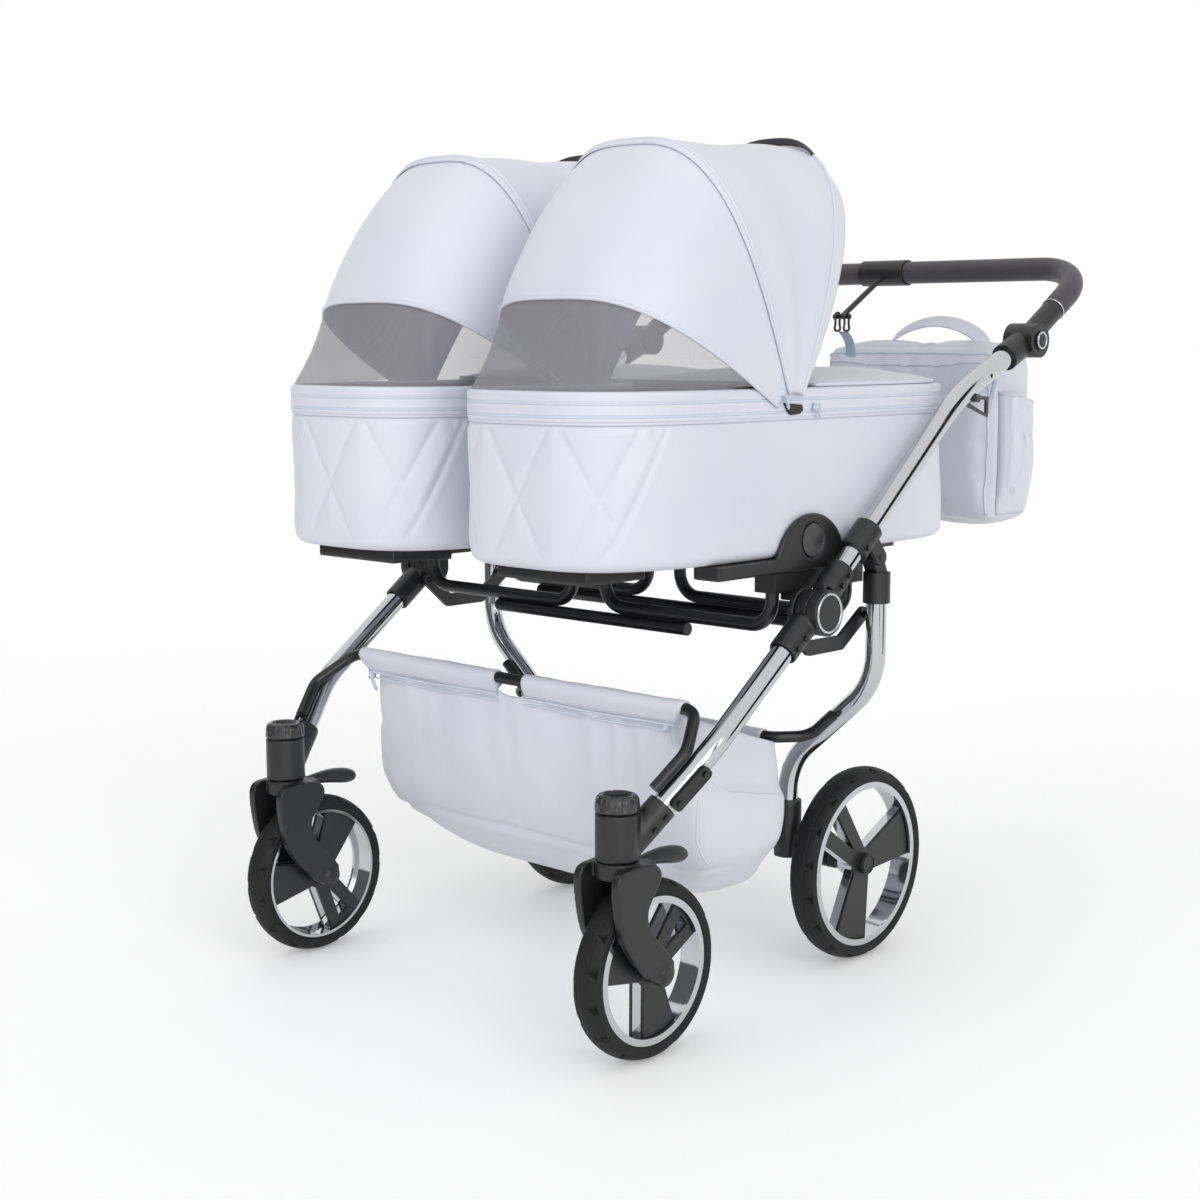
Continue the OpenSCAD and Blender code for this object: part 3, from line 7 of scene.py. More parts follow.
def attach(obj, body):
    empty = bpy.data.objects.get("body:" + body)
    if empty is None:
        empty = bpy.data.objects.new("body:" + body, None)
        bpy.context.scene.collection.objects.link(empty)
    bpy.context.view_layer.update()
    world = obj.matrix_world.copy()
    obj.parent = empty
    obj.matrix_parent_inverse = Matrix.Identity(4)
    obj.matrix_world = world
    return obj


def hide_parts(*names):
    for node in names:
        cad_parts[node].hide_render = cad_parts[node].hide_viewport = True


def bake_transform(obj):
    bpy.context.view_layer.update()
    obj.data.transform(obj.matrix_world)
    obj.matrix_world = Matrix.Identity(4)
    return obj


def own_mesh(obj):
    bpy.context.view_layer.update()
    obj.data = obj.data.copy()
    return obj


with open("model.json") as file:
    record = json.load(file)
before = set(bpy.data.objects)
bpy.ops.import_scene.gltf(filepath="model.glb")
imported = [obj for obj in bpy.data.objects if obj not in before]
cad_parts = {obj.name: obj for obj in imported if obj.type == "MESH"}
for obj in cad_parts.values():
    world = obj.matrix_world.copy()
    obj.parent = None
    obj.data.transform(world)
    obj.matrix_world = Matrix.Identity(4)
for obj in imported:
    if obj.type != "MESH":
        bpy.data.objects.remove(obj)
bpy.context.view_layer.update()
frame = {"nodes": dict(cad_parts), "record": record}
mm = 0.001
sides = (("left", 1), ("right", -1))


# small tools for nodes and meshes

def toLinear(hexColour):
    parts = [int(hexColour[k:k + 2], 16) / 255 for k in (1, 3, 5)]
    return [c / 12.92 if c <= 0.04045 else ((c + 0.055) / 1.055) ** 2.4 for c in parts] + [1.0]


def addNode(tree, kind, settings=None, links=None, into=None, output=0):
    # settings are sockets or properties, links feed its sockets, and its output may feed one socket
    node = tree.nodes.new(kind)
    for key, value in (settings or {}).items():
        if isinstance(key, int) or key in node.inputs:
            node.inputs[key].default_value = value
        else:
            setattr(node, key, value)
    for key, socket in (links or {}).items():
        tree.links.new(socket, node.inputs[key])
    if into is not None:
        tree.links.new(node.outputs[output], into)
    return node


def newFinish(name, settings):
    finish = bpy.data.materials.new(name)
    finish.use_nodes = True
    tree = finish.node_tree
    tree.nodes.clear()
    shader = addNode(tree, "ShaderNodeBsdfPrincipled", settings)
    addNode(tree, "ShaderNodeOutputMaterial", links={"Surface": shader.outputs[0]})
    place = addNode(tree, "ShaderNodeTexCoord")
    return finish, tree, shader, {"Vector": place.outputs["Object"]}


def gridFaces(rows, cols, closed=False, start=0, ring=False):
    # closed joins the last column to the first, and ring the last row to the first
    faces = []
    for i in range(rows if ring else rows - 1):
        low, high = start + i * cols, start + (i + 1) % rows * cols
        for j in range(cols if closed else cols - 1):
            k = (j + 1) % cols
            faces.append((low + j, low + k, high + k, high + j))
    return faces


def cappedFaces(rows, cols):
    # rings joined to a closed body with a flat face at each end
    ends = [tuple(reversed(range(cols))), tuple(range((rows - 1) * cols, rows * cols))]
    return gridFaces(rows, cols, True) + ends


def unit(vectors):
    return vectors / np.maximum(np.linalg.norm(vectors, axis=-1, keepdims=True), 1e-12)


def gridNormals(grid, closed=False):
    du = np.gradient(grid, axis=0)
    dv = np.roll(grid, -1, 1) - np.roll(grid, 1, 1) if closed else np.gradient(grid, axis=1)
    return unit(np.cross(dv, du))


def newPiece(name, points, faces, finishes, body=None, slot=None, faceFinish=None):
    mesh = bpy.data.meshes.new(name)
    mesh.from_pydata([tuple(map(float, p)) for p in points], [], [tuple(map(int, f)) for f in faces])
    for finish in finishes:
        mesh.materials.append(finish)
    if faceFinish is not None:
        mesh.polygons.foreach_set("material_index", np.asarray(faceFinish, np.int32))
    mesh.polygons.foreach_set("use_smooth", np.ones(len(mesh.polygons), bool))
    mesh.update()
    piece = bpy.data.objects.new(name, mesh)
    bpy.context.scene.collection.objects.link(piece)
    if body:
        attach(piece, body)
    return piece


def twoSkins(name, outer, thickness, finishes, body=None, slot=None):
    # a sheet with its own thickness: face side out, lining side in, closed along its edges
    rows, cols = outer.shape[:2]
    inner = outer - gridNormals(outer) * thickness
    count = rows * cols
    faces = gridFaces(rows, cols)
    skins = [0] * len(faces)
    back = [tuple(reversed(f)) for f in gridFaces(rows, cols, start=count)]
    faces += back
    skins += [1] * len(back)
    rim = [i * cols for i in range(rows)] + [(rows - 1) * cols + j for j in range(1, cols)]
    rim += [i * cols + cols - 1 for i in range(rows - 2, -1, -1)] + list(range(cols - 2, 0, -1))
    for k, a in enumerate(rim):
        b = rim[(k + 1) % len(rim)]
        faces.append((a, b, b + count, a + count))
        skins.append(0)
    points = np.concatenate([outer.reshape(-1, 3), inner.reshape(-1, 3)])
    return newPiece(name, points, faces, finishes, body, slot, skins)


def resample(points, count, closed=False):
    # evenly spaced points along a line
    pts = np.asarray(points, float)
    if closed:
        pts = np.vstack([pts, pts[:1]])
    run = np.concatenate([[0], np.cumsum(np.linalg.norm(np.diff(pts, axis=0), axis=1))])
    want = np.linspace(0, run[-1], count, endpoint=not closed)
    return np.stack([np.interp(want, run, pts[:, k]) for k in range(pts.shape[1])], 1)


def roundPath(points, radius, steps=10):
    # a path with its corners turned into arcs
    pts = [Vector(p) for p in points]
    path = [pts[0]]
    for a, b, c in zip(pts, pts[1:], pts[2:]):
        d0, d1 = (b - a).normalized(), (c - b).normalized()
        turn = d0.angle(d1)
        if turn < 1e-4:
            path.append(b)
            continue
        start = b - d0 * radius * math.tan(turn / 2)
        inward = (d1 - d0 * d1.dot(d0)).normalized()
        centre = start + inward * radius
        for k in range(steps + 1):
            angle = turn * k / steps
            path.append(centre - inward * radius * math.cos(angle) + d0 * radius * math.sin(angle))
    path.append(pts[-1])
    return np.array([list(p) for p in path])


def tubeMesh(path, radius, sidesCount=12, closed=False, squash=1.0, up=None):
    # rings along a path, turned as little as possible from one to the next
    path = np.asarray(path, float)
    count = len(path)
    tangent = unit(np.roll(path, -1, 0) - np.roll(path, 1, 0) if closed else np.gradient(path, axis=0))
    if up is None:
        up = [0, 0, 1] if abs(tangent[0][2]) < 0.9 else [0, 1, 0]
    normal = np.array(up, float)
    radii = np.broadcast_to(np.asarray(radius, float), (count,))
    angle = circleSpots(sidesCount)[:, None]
    rings = []
    for k in range(count):
        normal = unit(normal - tangent[k] * normal.dot(tangent[k]))
        side = np.cross(tangent[k], normal)
        rings.append(path[k] + radii[k] * (np.cos(angle) * side + squash * np.sin(angle) * normal))
    faces = gridFaces(count, sidesCount, True, ring=True) if closed else cappedFaces(count, sidesCount)
    return np.concatenate(rings), faces


def newTube(name, path, radius, finish, body=None, slot=None, **options):
    points, faces = tubeMesh(path, radius, **options)
    return newPiece(name, points, faces, [finish], body, slot)


def joined(parts):
    points, faces, start = [], [], 0
    for p, f in parts:
        points.append(np.asarray(p, float))
        faces += [tuple(i + start for i in face) for face in f]
        start += len(p)
    return np.concatenate(points), faces


def mirrored(points, side):
    return np.asarray(points, float) * [side, 1, 1]


def flipped(faces, side):
    return faces if side > 0 else [tuple(reversed(f)) for f in faces]


def circleSpots(count):
    return np.linspace(0, 2 * math.pi, count, endpoint=False)


def ringAt(x, y, z, radius, count=64):
    # a circle round an axle that lies across the pram
    return [(x, y + radius * math.cos(t), z + radius * math.sin(t)) for t in circleSpots(count)]


def atHeight(ring, z):
    return np.column_stack([ring, np.full(len(ring), z)])


def evaluated(piece):
    return piece.evaluated_get(bpy.context.evaluated_depsgraph_get())


def skinTree(piece):
    places = [v.co.copy() for v in piece.data.vertices]
    return BVHTree.FromPolygons(places, [tuple(p.vertices) for p in piece.data.polygons])


def soft(x):
    x = np.clip(x, 0, 1)
    return x * x * (3 - 2 * x)


def bell(x, width):
    return np.exp(-(x / width) ** 2)


def lumps(points, size, seed):
    # smooth unevenness of a given size in metres, the same on each run
    flat = np.asarray(points, float).reshape(-1, 3) / size
    found = [noise.noise(Vector((x + seed * 7.3, y - seed * 3.1, z + seed))) for x, y, z in flat]
    return np.array(found).reshape(np.asarray(points).shape[:-1])


print("tools ready")


# materials

def makeLeatherette(name, face, shade, roughness, grain):
    # polyurethane on knitted cloth, embossed: soft satin light, a fine pebble that only shows up close
    finish, tree, shader, at = newFinish(name, {"Roughness": roughness, "IOR": 1.46,
                                                "Sheen Weight": 0.12, "Sheen Roughness": 0.5})
    drift = addNode(tree, "ShaderNodeTexNoise", {"Scale": 1 / (180 * mm), "Detail": 3.0}, at)
    tone = addNode(tree, "ShaderNodeValToRGB", {}, {"Fac": drift.outputs[0]}, shader.inputs["Base Color"])
    for stop, position, colour in zip(tone.color_ramp.elements, (0.3, 0.72), (shade, face)):
        stop.position, stop.color = position, toLinear(colour)
    addNode(tree, "ShaderNodeMapRange", {"To Min": roughness - 0.05, "To Max": roughness + 0.06},
            {"Value": drift.outputs[0]}, shader.inputs["Roughness"])
    pebble = addNode(tree, "ShaderNodeTexVoronoi",
                     {"Scale": 1 / (grain * mm), "feature": "DISTANCE_TO_EDGE"}, at)
    raised = addNode(tree, "ShaderNodeBump", {"Strength": 0.22, "Distance": 0.12 * mm},
                     {"Height": pebble.outputs[0]})
    crumple = addNode(tree, "ShaderNodeTexNoise",
                      {"Scale": 1 / (26 * mm), "Detail": 4.0, "Roughness": 0.55}, at)
    addNode(tree, "ShaderNodeBump", {"Strength": 0.12, "Distance": 1.2 * mm},
            {"Height": crumple.outputs[0], "Normal": raised.outputs[0]}, shader.inputs["Normal"])
    return finish


def makeMoulded(name, colour, lighter, roughness, edge, grit):
    # glass-filled nylon from a spark-eroded mould: even satin light, soft edges
    finish, tree, shader, at = newFinish(name, {"Roughness": roughness, "IOR": 1.53})
    cloud = addNode(tree, "ShaderNodeTexNoise", {"Scale": 1 / (35 * mm), "Detail": 4.0}, at)
    addNode(tree, "ShaderNodeMix", {"data_type": "RGBA", 6: toLinear(colour), 7: toLinear(lighter)},
            {0: cloud.outputs[0]}, shader.inputs["Base Color"], 2)
    addNode(tree, "ShaderNodeMapRange", {"To Min": roughness - 0.06, "To Max": roughness + 0.08},
            {"Value": cloud.outputs[0]}, shader.inputs["Roughness"])
    rounded = addNode(tree, "ShaderNodeBevel", {"samples": 6, "Radius": edge * mm})
    sparks = addNode(tree, "ShaderNodeTexNoise", {"Scale": 1 / (grit * mm), "Detail": 2.0}, at)
    addNode(tree, "ShaderNodeBump", {"Strength": 0.12, "Distance": 0.1 * mm},
            {"Height": sparks.outputs[0], "Normal": rounded.outputs[0]}, shader.inputs["Normal"])
    return finish


def makeChrome(name, colour, roughness, edge):
    # bright chromium plate on steel or plastic: a mirror with a faint haze
    finish, tree, shader, at = newFinish(name, {"Metallic": 1.0, "Base Color": toLinear(colour),
                                                "Roughness": roughness})
    haze = addNode(tree, "ShaderNodeTexNoise", {"Scale": 1 / (60 * mm), "Detail": 5.0}, at)
    addNode(tree, "ShaderNodeMapRange", {"To Min": roughness * 0.5, "To Max": roughness * 1.7},
            {"Value": haze.outputs[0]}, shader.inputs["Roughness"])
    addNode(tree, "ShaderNodeBevel", {"samples": 4, "Radius": edge * mm}, {}, shader.inputs["Normal"])
    return finish


def makeWoven(name, warp, weft, thread, roughness, alpha=1.0):
    # plain woven polyester: two thread directions, drawn coarser than life so that they show
    finish, tree, shader, at = newFinish(name, {"Roughness": roughness, "Sheen Weight": 0.25, "Alpha": alpha})
    bands = {"Scale": 0.314 / (thread * mm), "Distortion": 0.6}
    along, across = [addNode(tree, "ShaderNodeTexWave", {**bands, "bands_direction": way}, at)
                     for way in "XZ"]
    cross = addNode(tree, "ShaderNodeMath", {"operation": "MULTIPLY"},
                    {0: along.outputs["Fac"], 1: across.outputs["Fac"]})
    addNode(tree, "ShaderNodeMix", {"data_type": "RGBA", 6: toLinear(warp), 7: toLinear(weft)},
            {0: cross.outputs[0]}, shader.inputs["Base Color"], 2)
    addNode(tree, "ShaderNodeBump", {"Strength": 0.3, "Distance": 0.3 * mm},
            {"Height": cross.outputs[0]}, shader.inputs["Normal"])
    return finish


def makeRubber(name, colour, lighter):
    # carbon-filled rubber from a mould: matt, slightly dusty
    finish, tree, shader, at = newFinish(name, {"Roughness": 0.62, "IOR": 1.52, "Specular IOR Level": 0.3})
    dust = addNode(tree, "ShaderNodeTexNoise",
                   {"Scale": 1 / (22 * mm), "Detail": 6.0, "Roughness": 0.65}, at)
    addNode(tree, "ShaderNodeMix", {"data_type": "RGBA", 6: toLinear(colour), 7: toLinear(lighter)},
            {0: dust.outputs[0]}, shader.inputs["Base Color"], 2)
    addNode(tree, "ShaderNodeMapRange", {"To Min": 0.52, "To Max": 0.75},
            {"Value": dust.outputs[0]}, shader.inputs["Roughness"])
    fine = addNode(tree, "ShaderNodeTexNoise", {"Scale": 1 / (1.5 * mm)}, at)
    addNode(tree, "ShaderNodeBump", {"Strength": 0.15, "Distance": 0.1 * mm},
            {"Height": fine.outputs[0]}, shader.inputs["Normal"])
    return finish


# colours, roughness, then edge radius and grain, grit or thread in mm
paleLeatherette = makeLeatherette("pale blue leatherette", "#DADDE6", "#D3D7E2", 0.44, 1.6)
blackLeatherette = makeLeatherette("black leatherette", "#46434B", "#3B3840", 0.5, 1.8)
blackNylon = makeMoulded("black moulded nylon", "#161617", "#1D1D1F", 0.4, 1.6, 1.2)
powderCoat = makeMoulded("black powder coat on steel", "#101012", "#171719", 0.32, 0.6, 0.8)
smokeCap = makeMoulded("smoke grey polycarbonate", "#2C2B2D", "#3A393B", 0.2, 1.0, 2.0)
mirrorChrome = makeChrome("chromium plate", "#C4C5C9", 0.08, 0.5)
tyreRubber = makeRubber("tyre rubber", "#131314", "#1B1B1C")
greyLining = makeWoven("grey polyester lining", "#B0AFBC", "#C3C2CD", 1.4, 0.5)
mattressCotton = makeWoven("pale cotton", "#C9CCD4", "#DADCE2", 1.6, 0.8)
greyNet = makeWoven("grey polyester net", "#93919C", "#C3C2CA", 1.5, 0.55, 0.36)
paleZip = makeMoulded("pale moulded zip", "#C6D0E0", "#D6DEEA", 0.35, 0.5, 1.0)
paleWebbing = makeWoven("blue grey woven webbing", "#9CA9C2", "#B6C1D5", 2.2, 0.6)
print("materials ready")


def newPiping(name, path, radius, body, finish=paleLeatherette, sidesCount=8, **options):
    # a thin round edge, zip or seam on the leatherette, its radius in mm
    return newTube(name, path, radius * mm, finish, body, "leatherette", sidesCount=sidesCount, **options)


# camera, light and floor

def addToScene(name, data):
    holder = bpy.data.objects.new(name, data)
    bpy.context.scene.collection.objects.link(holder)
    holder.rotation_mode = "QUATERNION"
    return holder


cameraPlace = {"at": (1.88734, -2.18369, 0.8957), "azimuth": 43.11, "pitch": 7.69, "lens": 58.236}
azimuth, pitch = math.radians(cameraPlace["azimuth"]), math.radians(cameraPlace["pitch"])
lens = bpy.data.cameras.new("camera")
lens.lens, lens.sensor_width = cameraPlace["lens"], 36.0
camera = addToScene("camera", lens)
camera.location = cameraPlace["at"]
look = Vector((-math.sin(azimuth) * math.cos(pitch), math.cos(azimuth) * math.cos(pitch), -math.sin(pitch)))
camera.rotation_quaternion = look.to_track_quat("-Z", "Y")
bpy.context.scene.camera = camera
bpy.context.scene.view_settings.view_transform = "Standard"

studioLight = {"world": 0.64, "key": 0.7, "fill": 1.05, "softness": 45, "floorWhite": 0.19}
lamps = (("key", (-0.1, -1.0, 0.4)), ("fill", (1.0, -0.35, 0.4)))
for name, place in lamps:
    lamp = bpy.data.lights.new(name, "SUN")
    lamp.energy, lamp.angle = studioLight[name], math.radians(studioLight["softness"])
    holder = addToScene(name, lamp)
    holder.location = Vector(place) * 4
    holder.rotation_quaternion = (-Vector(place)).to_track_quat("-Z", "Y")


def seenRays(tree):
    # 1 for what the camera sees, straight or by way of metal and net
    ray = addNode(tree, "ShaderNodeLightPath").outputs
    seen = ray["Is Camera Ray"]
    for other in ("Is Transmission Ray", "Is Glossy Ray"):
        seen = addNode(tree, "ShaderNodeMath", {"operation": "MAXIMUM"}, {0: seen, 1: ray[other]}).outputs[0]
    return seen


world = bpy.data.worlds.new("white room")
bpy.context.scene.world = world
world.use_nodes = True
tree = world.node_tree
tree.nodes.clear()
lit, shown = [addNode(tree, "ShaderNodeBackground", {"Color": (1, 1, 1, 1), "Strength": level})
              for level in (studioLight["world"], 1.0)]
either = addNode(tree, "ShaderNodeMixShader", {}, {0: seenRays(tree), 1: lit.outputs[0], 2: shown.outputs[0]})
addNode(tree, "ShaderNodeOutputWorld", links={"Surface": either.outputs[0]})


def addStage(name, points, finish):
    piece = newPiece(name, points, [(0, 1, 2, 3)], [finish])
    return piece


# painted floor: matt white, its last step to white only where it is seen
floorFinish, tree, shader, _ = newFinish("pale floor", {"Roughness": 0.7, "Emission Color": (1, 1, 1, 1)})
mottle = addNode(tree, "ShaderNodeTexNoise", {"Scale": 2.0})
addNode(tree, "ShaderNodeMix", {"data_type": "RGBA", 6: toLinear("#F8F8F8"), 7: toLinear("#FCFCFC")},
        {0: mottle.outputs[0]}, shader.inputs["Base Color"], 2)
addNode(tree, "ShaderNodeMath", {"operation": "MULTIPLY", 1: studioLight["floorWhite"]},
        {0: seenRays(tree)}, shader.inputs["Emission Strength"])
floorSize = 60.0
square = ((-1, -1), (1, -1), (1, 1), (-1, 1))
addStage("floor", [(x * floorSize, y * floorSize, 0) for x, y in square], floorFinish)
# flags of cloth beside the set, which only the bright metal sees: place, half width and finish
greyFlag, darkFlag = [newFinish(name, {"Base Color": toLinear(colour), "Roughness": 0.9})[0]
                      for name, colour in (("grey flag", "#6A6A6C"), ("dark flag", "#1E1E1F"))]
flagHeight = 3.2
flags = {"flagLeft": (-2.3, -2.1, 2.4, greyFlag), "flagRight": (2.7, 1.7, 0.45, darkFlag),
         "flagFront": (0.2, -3.9, 0.5, darkFlag), "flagSide": (3.6, -0.9, 0.25, greyFlag)}
for name, (x, y, half, flagFinish) in flags.items():
    across = Vector((-y, x, 0)).normalized() * half
    corners = [Vector((x, y, flagHeight * (up + 1) / 2)) + across * way for way, up in square]
    flag = addStage(name, corners, flagFinish)
    flag.visible_camera = flag.visible_diffuse = flag.visible_shadow = flag.visible_transmission = False
print("camera, light and floor ready")


# the carried-over solids get their finishes

finishOf = {"chrome": mirrorChrome, "black_plastic": blackNylon, "black_steel": powderCoat,
            "rubber": tyreRubber, "leatherette": paleLeatherette, "grip_leather": blackLeatherette,
            "grey_plastic": smokeCap, "lining": greyLining, "net": greyNet}
slotOf = {part["node"]: part["material_slot"] for part in frame["record"]["subparts"]}
for name, node in frame["nodes"].items():
    node.data.materials.clear()
    node.data.materials.append(finishOf[slotOf[name]])


def solidIslands(mesh):
    # faces that share corners, by place, belong to one solid
    corners = np.array([v.co for v in mesh.vertices])
    keys = {}
    same = [keys.setdefault(tuple(np.round(c, 6)), len(keys)) for c in corners]
    parent = list(range(len(keys)))

    def root(k):
        while parent[k] != k:
            parent[k] = parent[parent[k]]
            k = parent[k]
        return k
    for polygon in mesh.polygons:
        first = root(same[polygon.vertices[0]])
        for v in polygon.vertices[1:]:
            parent[root(same[v])] = first
    return corners, [root(same[p.vertices[0]]) for p in mesh.polygons]


# moulded pieces lose the sharp edges of their solids, as if drawn from a mould: voxel sizes in mm
mouldedPieces = {"fork_left": 1.5, "fork_right": 1.5, "caster_housings": 1.5, "cot_latches_left": 2.2,
                 "cot_latches_right": 2.2, "hinge_bases": 1.5, "hinge_tongues": 1.5, "axle_brackets": 1.6}
moulding = {"smooth": 0.5, "passes": 10, "clearance": 0.5}
for name, voxel in mouldedPieces.items():
    node = frame["nodes"][name]
    remesh = node.modifiers.new("drawn", "REMESH")
    remesh.mode, remesh.voxel_size, remesh.use_smooth_shade = "VOXEL", voxel * mm, True
    smooth = node.modifiers.new("rounded", "SMOOTH")
    smooth.factor, smooth.iterations = moulding["smooth"], moulding["passes"]
    # drawn in by half a millimetre, so that the running fits stay open
    drawnIn = node.modifiers.new("clearance", "DISPLACE")
    drawnIn.strength, drawnIn.mid_level = -moulding["clearance"] * mm, 0.0

# wheels: bright rim, dark spoke covers, tyre with pitted shoulders
frontWheel = {"diameter": 230 * mm, "x": 326 * mm, "y": -435 * mm, "notches": 15}
rearWheel = {"diameter": 280 * mm, "x": 280 * mm, "y": 80 * mm, "notches": 17}
tyreForm = {"width": 42 * mm, "wall": 20 * mm, "crown": 34 * mm, "shoulder": 5 * mm, "groove": 0.9 * mm,
            "grooveAt": 7.5 * mm, "pitDepth": 5.5 * mm, "pitWidth": 19 * mm, "pitReach": 8 * mm,
            "across": 32, "around": 144, "sharp": 38}
hub = {"out": 21.5 * mm, "radius": 13 * mm, "wire": 0.9 * mm, "coverDepth": 25 * mm}


def crownDrop(x):
    # how far the tread lies below its middle line
    return tyreForm["crown"] - math.sqrt(tyreForm["crown"] ** 2 - x * x)


def tyreProfile(wheel):
    outer, half = wheel["diameter"] / 2, tyreForm["width"] / 2
    inner = outer - tyreForm["wall"]
    tread = []
    for k in range(tyreForm["across"] + 1):
        x = -half + 2 * half * k / tyreForm["across"]
        groove = tyreForm["groove"] * bell(abs(x) - tyreForm["grooveAt"], tyreForm["groove"])
        edge = max(0.0, abs(x) - (half - tyreForm["shoulder"])) / tyreForm["shoulder"]
        tread.append((x * (1 - 0.02 * edge), outer - crownDrop(x) - groove - 2.5 * mm * edge ** 2.5))
    low, side = tread[-1][1], half * 0.98
    wall = [(0.6 * mm, low - 3 * mm), (0.2 * mm, low - 5 * mm), (1.4 * mm, inner + 2 * mm), (4 * mm, inner)]
    return tread + [(side - x, r) for x, r in wall] + [(x - side, r) for x, r in reversed(wall)]


def pitCutter(outer, side, angle):
    # a wedge that takes one pit out of the shoulder
    radial = np.array([0, math.cos(angle), math.sin(angle)])
    along = np.array([0, -math.sin(angle), math.cos(angle)])
    out = np.array([side * 0.5, 0, 0]) + radial * 0.87
    inner, middle, edge = [np.array([side * x * mm, 0, 0]) + radial * (outer - crownDrop(x * mm))
                           for x in (6, 15, 20)]
    wide = along * tyreForm["pitWidth"] / 2
    rim = [inner, edge - wide - radial * mm, edge + wide - radial * mm]
    deep = middle - out * tyreForm["pitDepth"] + along * 2.5 * mm
    faces = [(0, 2, 1), (0, 3, 2), (0, 1, 3), (1, 2, 5, 4), (2, 3, 6, 5), (3, 1, 4, 6), (4, 5, 6)]
    return [deep] + rim + [c + out * tyreForm["pitReach"] for c in rim], faces


def tyreMesh(wheel):
    profile, count = tyreProfile(wheel), wheel["notches"]
    rings = [[(x, r * math.cos(t), r * math.sin(t)) for x, r in profile]
             for t in circleSpots(tyreForm["around"])]
    faces = gridFaces(len(rings), len(profile), True, ring=True)
    body = newPiece("tyreBlank", np.concatenate(rings), faces, [tyreRubber])
    pits = [pitCutter(wheel["diameter"] / 2, side, 2 * math.pi * (k + shift) / count)
            for side, shift in ((1, 0), (-1, 0.5)) for k in range(count)]
    blade = newPiece("tyreBlade", *joined(pits), [tyreRubber])
    for piece in (body, blade):
        work = bmesh.new()
        work.from_mesh(piece.data)
        bmesh.ops.recalc_face_normals(work, faces=work.faces)
        work.to_mesh(piece.data)
        work.free()
    cut = body.modifiers.new("notches", "BOOLEAN")
    cut.operation, cut.object, cut.solver = "DIFFERENCE", blade, "EXACT"
    mesh = bpy.data.meshes.new_from_object(evaluated(body))
    bpy.data.objects.remove(body)
    bpy.data.objects.remove(blade)
    mesh.polygons.foreach_set("use_smooth", np.ones(len(mesh.polygons), bool))
    mesh.set_sharp_from_angle(angle=math.radians(tyreForm["sharp"]))
    return mesh


for kind, wheel in (("front", frontWheel), ("rear", rearWheel)):
    rubber = tyreMesh(wheel)
    for side, sign in sides:
        tyre = bpy.data.objects.new(f"{kind}Tyre.{side}", rubber)
        bpy.context.scene.collection.objects.link(tyre)
        tyre.location = (sign * wheel["x"], wheel["y"], wheel["diameter"] / 2)
        tyre.rotation_euler = (0, 0, 0 if sign > 0 else math.pi)
        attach(tyre, f"{kind}_wheel_{side}")
        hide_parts(f"{kind}_tyre_{side}")
        # the shallow solids of the rim's node are the spoke covers
        rim = frame["nodes"][f"{kind}_rim_{side}"].data
        rim.materials.append(blackNylon)
        corners, islands = solidIslands(rim)
        spread = {}
        for polygon, island in zip(rim.polygons, islands):
            spread.setdefault(island, []).extend(corners[list(polygon.vertices), 0])
        shallow = {island: int(max(xs) - min(xs) < hub["coverDepth"]) for island, xs in spread.items()}
        rim.polygons.foreach_set("material_index", [shallow[k] for k in islands])
        if kind == "rear":
            x = sign * (wheel["x"] + hub["out"])
            ring = ringAt(x, wheel["y"], wheel["diameter"] / 2, hub["radius"], 48)
            newTube(f"hubRing.{side}", ring, hub["wire"], blackNylon, f"rear_wheel_{side}", "black_plastic",
                    closed=True, sidesCount=8)
print("wheels ready")


# rings and bare badges on the hinges and handle joints: place and radius, then the thickness of the rings
badge = {"hinge": (404 * mm, -163 * mm, 542 * mm, 25 * mm),
         "joint": (404 * mm, 346 * mm, 892 * mm, 11.5 * mm),
         "hingeWire": 1.9 * mm, "jointWire": 1.6 * mm, "disc": 10.5 * mm, "dome": 0.8 * mm}


def discMesh(x, y, z, radius, dome, sign, rings=8, count=48):
    points = [(x + sign * dome, y, z)]
    for share in np.arange(1, rings + 1) / rings:
        points += ringAt(x + sign * dome * (1 - share ** 2), y, z, radius * share, count)
    faces = [(0, 1 + j, 1 + (j + 1) % count) for j in range(count)]
    faces += flipped(gridFaces(rings, count, True, 1), -1)
    return points, flipped(faces, sign)


for side, sign in sides:
    x, y, z, radius = badge["hinge"]
    ring = ringAt(sign * (x - 0.8 * mm), y, z, radius)
    newTube(f"hingeRing.{side}", ring, badge["hingeWire"], mirrorChrome, "front_frame", "chrome", closed=True)
    x, y, z, radius = badge["joint"]
    ring = ringAt(sign * x, y, z, radius)
    newTube(f"jointRing.{side}", ring, badge["jointWire"], mirrorChrome, f"tilt_button_{side}", "chrome",
            closed=True)
    disc, faces = discMesh(sign * (x + 0.1 * mm), y, z, badge["disc"], badge["dome"], sign)
    newPiece(f"jointBadge.{side}", disc, faces, [blackNylon], f"tilt_button_{side}", "black_plastic")
    frame["nodes"][f"handle_button_{side}"].data.materials[0] = blackNylon

